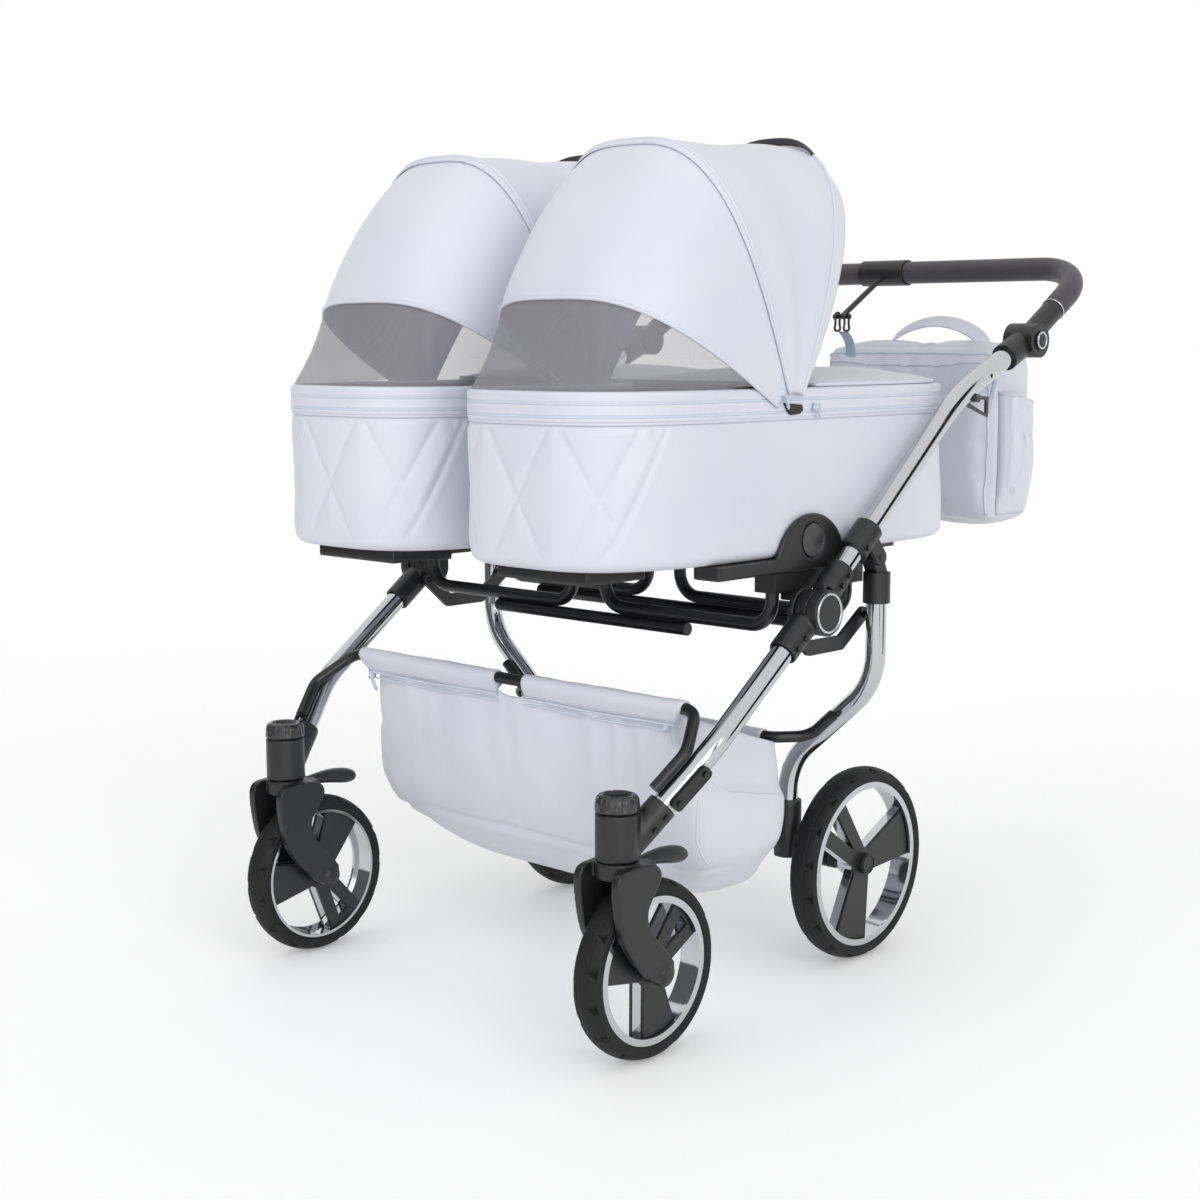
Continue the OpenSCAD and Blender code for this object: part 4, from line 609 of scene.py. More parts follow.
# swivel lock levers: thick paddles behind the forks, with run, rise and radius along each
lockLever = {"x": 326, "y": -445, "z": 253, "flat": 0.84,
             "along": [(-7, 0, 5), (-4, 0, 8), (4, 0, 9), (16, 1, 9.5), (30, 1.5, 11), (46, 0.5, 12.8),
                       (60, -1.5, 13.6), (72, -3.5, 13.2), (80, -4.8, 11), (85, -5.6, 7.5), (87.4, -6, 3)]}
for side, sign in sides:
    run, rise, radius = np.array(lockLever["along"]).T
    x = np.full(len(run), sign * lockLever["x"])
    line = np.column_stack([x, lockLever["y"] + run, lockLever["z"] + rise]) * mm
    made = newTube(f"lockLever.{side}", line, radius * mm, blackNylon, f"swivel_lock_{side}", "black_plastic",
                   sidesCount=32, squash=lockLever["flat"], up=(0, 0, 1))
    rounded = made.modifiers.new("rounded", "SUBSURF")
    rounded.levels = rounded.render_levels = 2
    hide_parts(f"lock_lever_{side}")

# fluted caps on the caster posts: shares of radius and height from the foot into the dish
postCap = {"x": 326 * mm, "y": -485 * mm, "low": 326.6 * mm, "high": 346.6 * mm, "radius": 28 * mm,
           "flutes": 6, "fluteDepth": 0.085, "fluteWidth": 0.13, "around": 120, "dishRow": 10,
           "levels": [(0.86, 0), (1.0, 0), (1.0, 0.1), (0.99, 0.3), (0.985, 0.5), (0.965, 0.68),
                      (0.92, 0.84), (0.84, 0.95), (0.75, 0.99), (0.67, 0.98), (0.6, 0.9), (0.52, 0.78),
                      (0.3, 0.73), (0.02, 0.72)]}
for side, sign in sides:
    count, t = postCap["around"], circleSpots(postCap["around"])
    flute = soft(1 - np.abs(t * postCap["flutes"] / (2 * math.pi) % 1 - 0.5) / postCap["fluteWidth"])
    rows = []
    for share, rise in postCap["levels"]:
        dent = postCap["fluteDepth"] * flute if rise > 0.1 and share > 0.62 else 0.0
        r = postCap["radius"] * share * (1 - dent)
        ring = np.column_stack([sign * postCap["x"] + r * np.cos(t), postCap["y"] + r * np.sin(t)])
        rows.append(atHeight(ring, postCap["low"] + (postCap["high"] - postCap["low"]) * rise))
    faces = gridFaces(len(rows), count, True)
    dish = [int(f[0] // count >= postCap["dishRow"]) for f in faces]
    cap = newPiece(f"postCap.{side}", np.concatenate(rows), faces + [tuple(reversed(range(count)))],
                   [smokeCap, blackNylon], f"post_cap_{side}", "grey_plastic", dish + [0])
    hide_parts(f"release_cap_{side}")
print("badges and caps ready")


# carrycots, drawn in mm round their own middle

cot = {"x": 180.5, "half": 166.5, "front": 512, "rear": 250, "low": 612, "rim": 832, "band": 792,
       "zips": (801, 817), "lean": 14, "leanFrom": 646, "leanSpan": 146, "liningSpan": 186, "frontMid": 205,
       "rearMid": 40, "frontPower": 3.3, "rearPower": 4, "edgeIn": 13, "edgeUp": 15, "around": 560}
quilt = {"spacing": 104, "tilt": 31, "puff": 4.2, "softness": 18, "middle": 700, "stitch": 1.6,
         "stitchWidth": 2.6, "sunk": 1.2}
sideSeam = {"top": -403, "low": -485, "topZ": 792, "lowZ": 616, "depth": 2.0, "width": 2.4, "ridgeAt": 9,
            "ridgeWidth": 6}
edging = {"zip": 1.5, "rim": 1.7, "foot": 1.6}
latchZone = {"y": (-228, -44), "z": 684, "x": 140}
fullTurn = np.radians(np.linspace(-90, 270, 1440, endpoint=False))


def power(value, p):
    return np.sign(value) * np.abs(value) ** (2 / p)


def cotRing(inset, lean, count=None):
    # the cot's outline from the middle of its front
    back = np.sin(fullTurn) > 0
    p = np.where(back, cot["rearPower"], cot["frontPower"])
    reach = np.abs(power(np.sin(fullTurn), p))
    rear = cot["rearMid"] + (cot["rear"] - cot["rearMid"] - inset - lean) * reach
    front = -cot["frontMid"] - (cot["front"] - cot["frontMid"] - inset) * reach
    x = (cot["half"] - inset) * power(np.cos(fullTurn), p)
    return resample(np.stack([x, np.where(back, rear, front)], 1), count or cot["around"], True)


def cotLean(z, span="leanSpan"):
    return cot["lean"] * soft((z - cot["leanFrom"]) / cot[span])


def seamY(z):
    k = (sideSeam["topZ"] - z) / (sideSeam["topZ"] - sideSeam["lowZ"])
    return sideSeam["top"] + (sideSeam["low"] - sideSeam["top"]) * k


def cotLevels():
    # inset, height and kind of each ring: under the floor, up the wall, over the rim and down inside
    low, band, rim = cot["low"], cot["band"], cot["rim"]
    bend = np.radians(np.linspace(0, 84, 9))
    levels = [(inset, low, "base") for inset in (120, 60, 30)]
    levels += [(cot["edgeIn"] * (1 - math.sin(f)), low + cot["edgeUp"] * (1 - math.cos(f)), "edge")
               for f in bend]
    levels += [(0, z, "wall") for z in np.linspace(low + 16, band - 3, 60)]
    levels += [(inset, band + up, "band") for inset, up in ((1.6, -1), (1.8, 0.5), (-0.6, 2), (-2.2, 4))]
    for z in np.arange(band + 5, rim - 3, 1.4):
        levels.append((-2.6 + sum(2.0 * bell(z - line, 1.5) for line in cot["zips"]), z, "band"))
    levels += [(inset, rim - down, "band") for inset, down in ((-1.6, 2), (0.8, 0.4), (4, 0), (8, 0.6))]
    levels += [(inset, rim - down, "lining") for inset, down in ((11, 3), (12, 10))]
    levels += [(12, z, "lining") for z in np.linspace(rim - 20, low + 52, 14)]
    foot = ((14, 38), (20, 24), (32, 15), (60, 13), (110, 13))
    levels += [(inset, low + up, "lining") for inset, up in foot]
    return levels


def cotGrid(seed):
    levels = cotLevels()
    kinds = [kind for _, _, kind in levels]
    spans = ["liningSpan" if kind == "lining" else "leanSpan" for kind in kinds]
    grid = np.array([atHeight(cotRing(inset, cotLean(z, span)), z)
                     for (inset, z, _), span in zip(levels, spans)])
    tangent = np.roll(grid, -1, 1) - np.roll(grid, 1, 1)
    outward = unit(np.stack([tangent[..., 1], -tangent[..., 0], np.zeros(tangent.shape[:2])], 2))
    step = np.linalg.norm(np.diff(cotRing(0, 0), axis=0), axis=1).mean()
    around = np.arange(cot["around"])
    run = np.where(around > cot["around"] / 2, around - cot["around"], around) * step
    wander = lumps(grid * mm, 0.11, seed) * 1.4 + lumps(grid * mm, 0.045, seed + 3) * 0.5
    tilt = math.radians(quilt["tilt"])
    for i, kind in enumerate(kinds):
        if kind not in ("wall", "edge"):
            continue
        x, y, z = grid[i].T
        seam = seamY(z)
        fade = soft((z - cot["low"] - 10) / 26) * soft((cot["band"] - 2 - z) / 10)
        ahead = soft((seam - y) / 14)
        # quilting ahead of the side seam: cushions between two sets of slanting lines
        across, up = run * math.cos(tilt), (z - quilt["middle"]) * math.sin(tilt)
        lines = [(across + way * up) / quilt["spacing"] for way in (-1, 1)]
        gap = np.minimum(*[np.abs(v - np.round(v)) * quilt["spacing"] for v in lines])
        puff = (1 - np.exp(-gap / quilt["softness"])) * quilt["puff"] - quilt["sunk"]
        puff = puff - quilt["stitch"] * bell(gap, quilt["stitchWidth"])
        groove = bell(np.abs(y - seam) - sideSeam["ridgeAt"], sideSeam["ridgeWidth"])
        groove = groove - sideSeam["depth"] * bell(y - seam, sideSeam["width"])
        move = fade * (ahead * puff + groove + wander[i])
        # nothing stands out where the latches lie on the wall
        near = soft((y - latchZone["y"][0]) / 12) * soft((latchZone["y"][1] - y) / 12)
        near = near * soft((latchZone["z"] - z) / 10) * soft((np.abs(x) - latchZone["x"]) / 10)
        move = np.where(near > 0, np.minimum(move, 0) * near + move * (1 - near), move)
        grid[i] += outward[i] * move[:, None]
    return grid, kinds


def zipLine(z, inset):
    return atHeight(cotRing(inset, cotLean(z), 360), z)


# foot cover: shares of its outline, with the rise of the hem and then the crown
apron = {"front": -120, "base": 832.3, "edge": 7, "rise": 16, "power": 6, "inset": 3,
         "hem": [(0.9, 0), (0.985, 0), (0.998, 0.1), (1.0, 0.25), (0.998, 0.4), (0.99, 0.52)],
         "crown": (0.975, 0.95, 0.9, 0.84, 0.76, 0.66, 0.55, 0.42, 0.28, 0.14, 0.02)}


def apronGrid():
    t = np.radians(np.linspace(0, 180, 700))
    x = (cot["half"] - apron["inset"]) * power(np.cos(t), cot["rearPower"])
    reach = cot["rear"] - cot["lean"] - apron["front"] - apron["inset"]
    y = apron["front"] + reach * np.abs(power(np.sin(t), apron["power"]))
    ring = resample(np.stack([x, y], 1), 200, True)
    middle = np.array([0, (cot["rear"] + apron["front"]) / 2])
    levels = [(share, apron["edge"] * rise) for share, rise in apron["hem"]]
    levels += [(share, apron["edge"] * 0.52 + (apron["edge"] * 0.48 + apron["rise"]) * (1 - share ** 2.6))
               for share in apron["crown"]]
    grid = np.array([atHeight(middle + (ring - middle) * share, apron["base"] + high)
                     for share, high in levels])
    ripple = lumps(grid * mm, 0.07, 5.0) * 2.4 + lumps(grid * mm, 0.028, 6.0) * 0.8
    fade = np.array([0] * 5 + [0.1, 0.3, 0.6] + [1] * 9)
    grid[..., 2] += ripple * fade[:, None]
    return grid


# hoods: arches in planes through the pivot line, as in the solids, each with its angle, height and power
hood = {"y": -182, "z": 792, "start": 34, "rear": (64, 406, 2.5), "mid": (109, 376, 3.0),
        "front": (150, 310, 3.3), "hem": 58, "dip": 32, "frontDip": 6, "frontWidth": 173.3,
        "rearWidth": 176.6, "cloth": 2.2, "across": 121, "frontFrom": 107.5, "frontIn": 3.3, "rearTo": 110.5}
net = {"past": 0.6, "narrow": 1, "drop": 4.3, "start": 88, "corner": 8, "inset": 2, "lift": 0.4, "rows": 17,
       "sag": 5, "middle": -250, "cloth": 0.8}
carryGrip = {"half": 72, "lift": 5.2, "gap": 1.0, "wide": 15, "flat": 0.2}


def between(angle, first, last):
    # how far an angle lies from one arch to the next
    return np.clip((angle - hood[first][0]) / (hood[last][0] - hood[first][0]), 0, 1)


def hoodHeight(angle):
    rear, mid, front = [hood[name][1] for name in ("rear", "mid", "front")]
    if angle <= hood["rear"][0]:
        return rear - 5 * (hood["rear"][0] - angle) / 6
    if angle <= hood["mid"][0]:
        k = between(angle, "rear", "mid")
        return rear + (mid - rear) * k - hood["dip"] * math.sin(math.pi * k) ** 0.9
    k = between(angle, "mid", "front")
    return mid + (front - mid) * k - hood["frontDip"] * math.sin(math.pi * k)


def arch(angle, width, height, count, start=None):
    angles, _, powers = zip(hood["rear"], hood["mid"], hood["front"])
    p = float(np.interp(angle, angles, powers))
    first = math.asin(((start or hood["start"]) / height) ** (p / 2))
    t = np.linspace(first, math.pi - first, 900)
    r = height * np.abs(power(np.sin(t), p))
    f = math.radians(angle)
    pts = np.stack([width * power(np.cos(t), p), hood["y"] + r * math.cos(f), hood["z"] + r * math.sin(f)], 1)
    return resample(pts, count)


def swollen(grid, swell, margin):
    # a panel moved along its own normals, still at both side edges
    spots = np.arange(grid.shape[1]) + 0.5
    edge = soft(spots / margin) * soft((grid.shape[1] - spots) / margin)
    return grid + gridNormals(grid) * (swell * edge[None])[..., None]


def hoodFrontGrid(seed):
    angles = np.linspace(hood["frontFrom"], hood["front"][0], 44)
    grid = np.array([arch(f, hood["frontWidth"], hoodHeight(f) - hood["frontIn"], hood["across"])
                     for f in angles])
    k = between(angles, "mid", "front")[:, None]
    uneven = lumps(grid * mm, 0.16, seed) * 3.0 + lumps(grid * mm, 0.05, seed + 1) * 0.8
    return swollen(grid, uneven * np.sin(np.pi * k) ** 0.7, 10)


def hoodRearGrid(seed):
    angles = np.linspace(hood["hem"], hood["rearTo"], 60)
    grid = np.array([arch(f, hood["rearWidth"], hoodHeight(f), hood["across"]) for f in angles])
    k = between(angles, "rear", "mid")[:, None]
    u = np.linspace(0, 1, hood["across"])[None]
    # soft folds fan out from the pivots and die away over the crown
    fan = np.sin(k * 9.4 + 1.6 * np.sin(u * 5.0 + seed)) * (0.35 + 0.65 * np.abs(np.cos(u * math.pi)) ** 0.8)
    return swollen(grid, (fan * 3.4 + lumps(grid * mm, 0.09, seed + 2) * 2.6) * np.sin(np.pi * k) ** 0.8, 8)


def netGrid():
    count = hood["across"]
    angle, height, _ = hood["front"]
    width = hood["frontWidth"] - net["narrow"]
    top = arch(angle + net["past"], width, height - net["drop"], count, net["start"])
    t = np.radians(np.linspace(net["corner"], 180 - net["corner"], 900))
    x = (cot["half"] - net["inset"]) * power(np.cos(t), cot["frontPower"])
    reach = (cot["front"] - cot["frontMid"] - net["inset"]) * np.abs(power(np.sin(t), cot["frontPower"]))
    rim = np.stack([x, -cot["frontMid"] - reach], 1)
    rim = resample(atHeight(rim, cot["rim"] + net["lift"]), count)
    rows = []
    for k in np.linspace(0, 1, net["rows"]):
        row = top + (rim - top) * k
        inward = unit(np.column_stack([-row[:, 0], net["middle"] - row[:, 1], np.zeros(count)]))
        rows.append(row + inward * (net["sag"] * math.sin(math.pi * k)))
    return np.array(rows)


def toCot(points, sign):
    return np.asarray(points, float) * [sign, 1, 1] * mm + [sign * cot["x"] * mm, 0, 0]


def cotPanel(grid, sign):
    # the mirrored panel runs the other way, so that its face side stays out
    return toCot(grid, sign) if sign > 0 else toCot(grid, sign)[:, ::-1]


stuffing = {"voxel": 6 * mm, "pressure": 4.0, "quality": 4, "frames": 20}


def clothSwell(name, points, faces, finish, limit):
    # a stuffed piece: remeshed, blown up a little as cloth, then kept as it lies
    piece = newPiece(name, points, faces, [finish])
    remesh = piece.modifiers.new("remesh", "REMESH")
    remesh.mode, remesh.voxel_size = "VOXEL", stuffing["voxel"]
    mesh = bpy.data.meshes.new_from_object(evaluated(piece))
    piece.modifiers.clear()
    piece.data = mesh
    rest = np.array([v.co for v in mesh.vertices])
    cloth = piece.modifiers.new("cloth", "CLOTH")
    cloth.settings.use_pressure = True
    cloth.settings.uniform_pressure_force = stuffing["pressure"]
    cloth.settings.effector_weights.gravity = 0
    cloth.settings.quality = stuffing["quality"]
    cloth.point_cache.frame_start, cloth.point_cache.frame_end = 1, stuffing["frames"]
    for step in range(1, stuffing["frames"] + 1):
        bpy.context.scene.frame_set(step)
    made = evaluated(piece)
    moved = np.array([v.co for v in made.to_mesh().vertices]) - rest
    made.to_mesh_clear()
    piece.modifiers.clear()
    bpy.context.scene.frame_set(1)
    far = np.linalg.norm(moved, axis=1, keepdims=True)
    rest = rest + moved * np.minimum(1, limit / np.maximum(far, 1e-9))
    mesh.vertices.foreach_set("co", rest.astype(np.float32).ravel())
    mesh.polygons.foreach_set("use_smooth", np.ones(len(mesh.polygons), bool))
    if not mesh.materials:
        mesh.materials.append(finish)
    mesh.update()
    return piece


# inset and rise of the mattress's rings
mattress = {"side": 41, "base": 624.6, "height": 42, "around": 160, "swell": 4 * mm,
            "levels": [(8, 0.02), (2, 0.16), (0, 0.5), (3, 0.86), (14, 1.0), (44, 1.08), (80, 1.14)]}
# place and length of the zip pulls, and the outline of the lug
pullPlaces = ((353.5, -202, 826, 21), (353.5, -132, 806, 15))
hoodLug = [(-198, 813), (-160, 810), (-158, 803), (-164, 798.5), (-182, 797), (-188, 800)]
lugFaces = (348.5, 352.2)


def pullMesh(x, y, z, length, sign):
    # a small slider with a hanging tag
    low = [(-2.4, -4, -3), (2.4, -4, -3), (2.4, 4, -3), (-2.4, 4, -3)]
    high = [(-1.6, -3.4, 3.4), (1.6, -3.4, 3.4), (1.6, 3.4, 3.4), (-1.6, 3.4, 3.4)]
    quads = [(0, 3, 2, 1), (4, 5, 6, 7), (0, 1, 5, 4), (1, 2, 6, 5), (2, 3, 7, 6), (3, 0, 4, 7)]
    slider = np.array(low + high) * 1.35 * mm + np.array([x, y, z]) * mm
    hang = [(2, 0, -1), (3, 2, -5), (3, 0.2 * length, -0.5 * length), (2.5, 0.36 * length, -0.9 * length),
            (2.2, 0.4 * length, -length)]
    tag = tubeMesh((np.array(hang) + [x, y, z]) * mm, np.array([1.4, 2.4, 3.2, 3.4, 1.4]) * mm, squash=0.4)
    points, faces = joined([(slider, quads), tag])
    return mirrored(points, sign), flipped(faces, sign)


for side, sign in sides:
    seed = 1.0 if sign > 0 else 11.0
    body, hoodBody = f"cot_{side}", f"hood_{side}"
    grid, kinds = cotGrid(seed)
    rows, cols = grid.shape[:2]
    faces = cappedFaces(rows, cols)
    skin = [int(kinds[f[0] // cols] == kinds[f[2] // cols] == "lining") for f in faces]
    shell = newPiece(f"cotShell.{side}", toCot(grid.reshape(-1, 3), sign), flipped(faces, sign),
                     [paleLeatherette, greyLining], body, "leatherette", skin)
    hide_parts(f"cot_tub_{side}")
    # zips and piping on the rim band
    for n, z in enumerate(cot["zips"]):
        line = toCot(zipLine(z, -1.6), sign)
        newPiping(f"rimZip{n}.{side}", line, edging["zip"], body, paleZip, closed=True)
    line = toCot(zipLine(cot["band"] + 0.6, -0.4), sign)
    newPiping(f"rimPiping.{side}", line, edging["rim"], body, closed=True)
    # foot cover
    grid = apronGrid()
    cover = newPiece(f"footCover.{side}", toCot(grid.reshape(-1, 3), sign),
                     flipped(cappedFaces(*grid.shape[:2]), sign), [paleLeatherette], body, "leatherette")
    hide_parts(f"cot_apron_{side}")
    newPiping(f"footPiping.{side}", toCot(grid[5], sign), edging["foot"], body, closed=True)
    # mattress
    grid = np.array([atHeight(cotRing(mattress["side"] + inset, 0, mattress["around"]),
                              mattress["base"] + mattress["height"] * rise)
                     for inset, rise in mattress["levels"]])
    pad = clothSwell(f"mattress.{side}", toCot(grid.reshape(-1, 3), sign),
                     flipped(cappedFaces(*grid.shape[:2]), sign), mattressCotton, mattress["swell"])
    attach(pad, body)
    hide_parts(f"cot_mattress_{side}")
    # hood, front part
    panel = twoSkins(f"hoodFront.{side}", cotPanel(hoodFrontGrid(seed), sign), hood["cloth"] * mm,
                     [paleLeatherette, greyLining], body, "leatherette")
    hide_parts(f"hood_front_{side}")
    # hood, rear part, gathered in soft folds
    panel = twoSkins(f"hoodRear.{side}", cotPanel(hoodRearGrid(seed), sign), hood["cloth"] * mm,
                     [paleLeatherette, greyLining], None, "leatherette")
    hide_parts(f"hood_rear_{side}")
    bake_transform(panel)
    # piping over the bows and a bound front edge: angle, width, lift, radius and body
    rearAngle = hood["rear"][0]
    edges = {"midPiping": (108.6, hood["rearWidth"] + 0.6, 0.6, 1.9, body),
             "rearPiping": (rearAngle, hood["rearWidth"] + 0.8, 0.8, 2.1, hoodBody),
             "frontBinding": (hood["front"][0], hood["frontWidth"] - 0.6, -3.6, 2.8, body)}
    for name, (angle, width, lift, radius, owner) in edges.items():
        line = toCot(arch(angle, width, hoodHeight(angle) + lift, 160), sign)
        made = newPiping(f"{name}.{side}", line, radius, owner, sidesCount=10)
        if name == "rearPiping":
            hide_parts(f"hood_bow_{side}")
    # carry grip on top of the rear bow
    top = arch(rearAngle, hood["rearWidth"], hoodHeight(rearAngle), 601)
    mid = toCot(top[np.abs(top[:, 0]) < carryGrip["half"]], sign)
    along = np.abs(np.linspace(-1, 1, len(mid)))
    lift = (carryGrip["lift"] * (1 - along ** 6) + carryGrip["gap"]) * mm
    wide = carryGrip["wide"] * mm * (1 - 0.45 * along ** 5)
    out = np.array([0, math.cos(math.radians(rearAngle)), math.sin(math.radians(rearAngle))])
    path = mid + out * lift[:, None]
    newTube(f"hoodGrip.{side}", path[::4], wide[::4], blackLeatherette, hoodBody, "grip_leather",
            sidesCount=20, squash=carryGrip["flat"], up=out)
    # net window
    window = twoSkins(f"netWindow.{side}", cotPanel(netGrid(), sign), net["cloth"] * mm, [greyNet, greyNet],
                      body, "net")
    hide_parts(f"hood_mesh_{side}")
    # zip pulls beside the hood, on the outer side of the cot
    for n, place in enumerate(pullPlaces):
        newPiece(f"zipPull{n}.{side}", *pullMesh(*place, sign), [paleZip], body, "leatherette")
    # the end of the hood's bracket shows below its hem
    lug = [(x, y, z) for x in lugFaces for y, z in hoodLug]
    count = len(hoodLug)
    faces = [tuple(range(count)), tuple(reversed(range(count, 2 * count)))]
    faces += [(k, k + count, (k + 1) % count + count, (k + 1) % count) for k in range(count)]
    lugPiece = newPiece(f"hoodLug.{side}", mirrored(lug, sign) * mm, flipped(faces, sign), [blackNylon],
                        body, "black_plastic")
    lugPiece.data.polygons.foreach_set("use_smooth", np.zeros(len(faces), bool))
print("carrycots ready")


# basket

basket = {"frontY": 345, "frontZ": 430, "rearY": 85, "rearZ": 345, "rail": 8, "floor": 142, "cloth": 4,
          "lining": 2.4, "around": 260, "frontHalf": 312, "rearHalf": 272, "lowHalf": 246, "swell": 10,
          "toe": 45, "heel": 30}
basketCloth = {"scallops": 13, "scallop": 1.2, "most": 4.0, "gather": 1.5, "gatherAt": 0.16,
               "gatherWidth": 0.17, "seam": (-3.2, 0.6, 0.016), "ridge": (2.0, 0.645, 0.03), "dip": 15,
               "dipHalf": 33, "dipDepth": 0.2}
sidePanel = {"front": -338, "top": 326, "low": 176, "rise": 8.0, "slope": 0.22, "middle": -283, "x": 235}
basketSeams = {"panelFront": [(-290, 336), (-318, 318), (-331, 296), (-341, 272), (-344, 244), (-322, 214),
                              (-292, 188)],
               "panelTop": [(-290, 336), (-255, 322), (-220, 312), (-180, 304), (-110, 296)]}


def basketRing(yf, yr, zf, zr, wf, wr, p):
    k = (1 + power(np.sin(fullTurn), p)) / 2
    x = power(np.cos(fullTurn), p) * (wf + (wr - wf) * k)
    return resample(np.stack([x, yf + (yr - yf) * k, zf + (zr - zf) * k], 1), basket["around"], True)


def basketKeys():
    topF, topR = [basket[end] - basket["rail"] - 0.4 for end in ("frontZ", "rearZ")]
    yf, yr = -basket["frontY"] - basket["cloth"] / 2, -basket["rearY"] + basket["cloth"] / 2
    low, s, toe, heel = [basket[name] for name in ("floor", "swell", "toe", "heel")]
    wf, wr, wl = basket["frontHalf"], basket["rearHalf"], basket["lowHalf"]
    # depth down the wall, steps in from front and rear, half widths at front and rear, power
    keys = [(0, 0, 0, wf, wr, 9), (1 / 3, 0.8 * s, 0, wf + 2, wr + s, 9),
            (2 / 3, 0.6 * toe, s, wf, wr + s, 8), (0.9, 1.4 * toe, heel, wr - 12, wr, 5),
            (1, 2.1 * toe, 2 * heel, wl - 44, wl, 4)]
    return [basketRing(yf + a, yr - b, topF + (low - topF) * k, topR + (low - topR) * k, front, rear, p)
            for k, a, b, front, rear, p in keys]


def throughKeys(keys, steps):
    # a smooth skin through the key rings
    keys = np.array(keys)
    grown = np.concatenate([[2 * keys[0] - keys[1]], keys, [2 * keys[-1] - keys[-2]]])
    rows = []
    for i in range(len(keys) - 1):
        p0, p1, p2, p3 = grown[i:i + 4]
        second, third = 2 * p0 - 5 * p1 + 4 * p2 - p3, 3 * p1 - p0 - 3 * p2 + p3
        for t in np.arange(steps) / steps:
            rows.append(0.5 * (2 * p1 + (p2 - p0) * t + second * t ** 2 + third * t ** 3))
    return np.array(rows + [keys[-1]])


outer = throughKeys(basketKeys(), 18)
x, y, z = np.moveaxis(outer, 2, 0)
depth = np.linspace(0, 1, len(outer))[:, None]
# cloth that hangs from the rails: scallops, sags, gathers under the front rail and its cross seam
hang = np.sin(circleSpots(basket["around"]) * basketCloth["scallops"])[None]
hang = hang * (1 - depth) ** 1.5 * basketCloth["scallop"]
wave = lumps(outer * mm, 0.1, 21.0) * 5.0 + lumps(outer * mm, 0.04, 22.0) * 1.6
drop = np.minimum(hang + wave * np.sin(np.pi * depth) ** 0.6, basketCloth["most"])
gather = np.sin(x / 9.5 + 1.7 * np.sin(x / 31)) * (0.5 + 1.3 * soft((x - 60) / 160))
gather = basketCloth["gather"] * gather * bell(depth - basketCloth["gatherAt"], basketCloth["gatherWidth"])
crossSeam = sum(rise * bell(depth - at, width)
                for rise, at, width in (basketCloth["seam"], basketCloth["ridge"]))
seamLines = soft((-200 - y) / 60) * (gather + crossSeam)
inPanel = soft((y - sidePanel["front"]) / 26) * soft((z - sidePanel["low"]) / 45)
inPanel = inPanel * soft((sidePanel["top"] - sidePanel["slope"] * (y - sidePanel["middle"]) - z) / 22)
inPanel = inPanel * soft((np.abs(x) - sidePanel["x"]) / 40)
outer = outer - gridNormals(outer, True) * (drop + seamLines + sidePanel["rise"] * inPanel)[..., None]
# the top edge dips where the rail is bare
bare = np.exp(-(outer[..., 0] / basketCloth["dipHalf"]) ** 4) * (outer[..., 1] < -250)
outer[..., 2] -= basketCloth["dip"] * bare * soft(1 - depth / basketCloth["dipDepth"])
inner = outer + gridNormals(outer, True) * basket["lining"]
lowest = outer[-1, :, 1]
centre = np.array([[[0, (lowest.min() + lowest.max()) / 2, basket["floor"]]]])
floorRows = np.concatenate([centre + (outer[-1:] - centre) * s for s in (0.8, 0.5, 0.2, 0.02)])
outer = np.concatenate([outer, floorRows])
inner = np.concatenate([inner, floorRows + [0, 0, basket["lining"]]])
rows, cols = outer.shape[:2]
faces = gridFaces(2 * rows, cols, True)
skin = [int(f[0] // cols < rows - 1) for f in faces]
basketPiece = newPiece("basket.cloth", np.concatenate([inner[::-1], outer]).reshape(-1, 3) * mm, faces,
                       [paleLeatherette, greyLining], "front_frame", "leatherette", skin)
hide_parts("basket")
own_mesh(basketPiece)
basketSkin = skinTree(basketPiece)
for side, sign in sides:
    for name, line in basketSeams.items():
        spots = [basketSkin.find_nearest(Vector((sign * 335, y, z)) * mm) for y, z in resample(line, 40)]
        line = np.array([list(place + normal * 0.6 * mm) for place, normal, _, _ in spots])
        for _ in range(6):
            line[1:-1] = (line[:-2] + 2 * line[1:-1] + line[2:]) / 4
        seam = newPiping(f"basketSeam.{name}.{side}", line, 1.9, "front_frame")
        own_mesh(seam)
# tunnels sewn round the front rail, with the rail bare between them
sleeve = {"gap": 28, "end": 314, "radius": 10.6, "hem": 22, "rearHem": 22, "rearEnd": 236, "zip": 8,
          "taper": 0.95}


def hemMesh(xs, y, z, radius, hem, seed):
    # cloth round a rail, its two layers sewn together below it
    ring = [(radius * math.cos(f), radius * math.sin(f)) for f in np.radians(np.linspace(-20, 200, 19))]
    ring += [(-radius * 0.72, -radius * 1.1), (-4.5, -hem * 0.72), (-3.4, -hem), (-1.0, -hem),
             (0.2, -hem * 0.72), (radius * 0.66, -radius * 1.1)]
    u, v = np.array(ring).T
    xs = xs[:, None]
    puff = 1 + 0.035 * np.sin(xs / 23 + seed) + 0.02 * np.sin(xs / 9.1)
    sway = np.where(v < -radius, 0.8 * np.sin(xs / 37 + seed), 0)
    taper = 1 - (1 - sleeve["taper"]) * np.maximum(0, -v) / hem
    grid = np.stack([xs * taper, y + u * puff, z + v * np.where(v > 0, puff, 1) + sway], 2)
    return grid.reshape(-1, 3) * mm, cappedFaces(*grid.shape[:2])


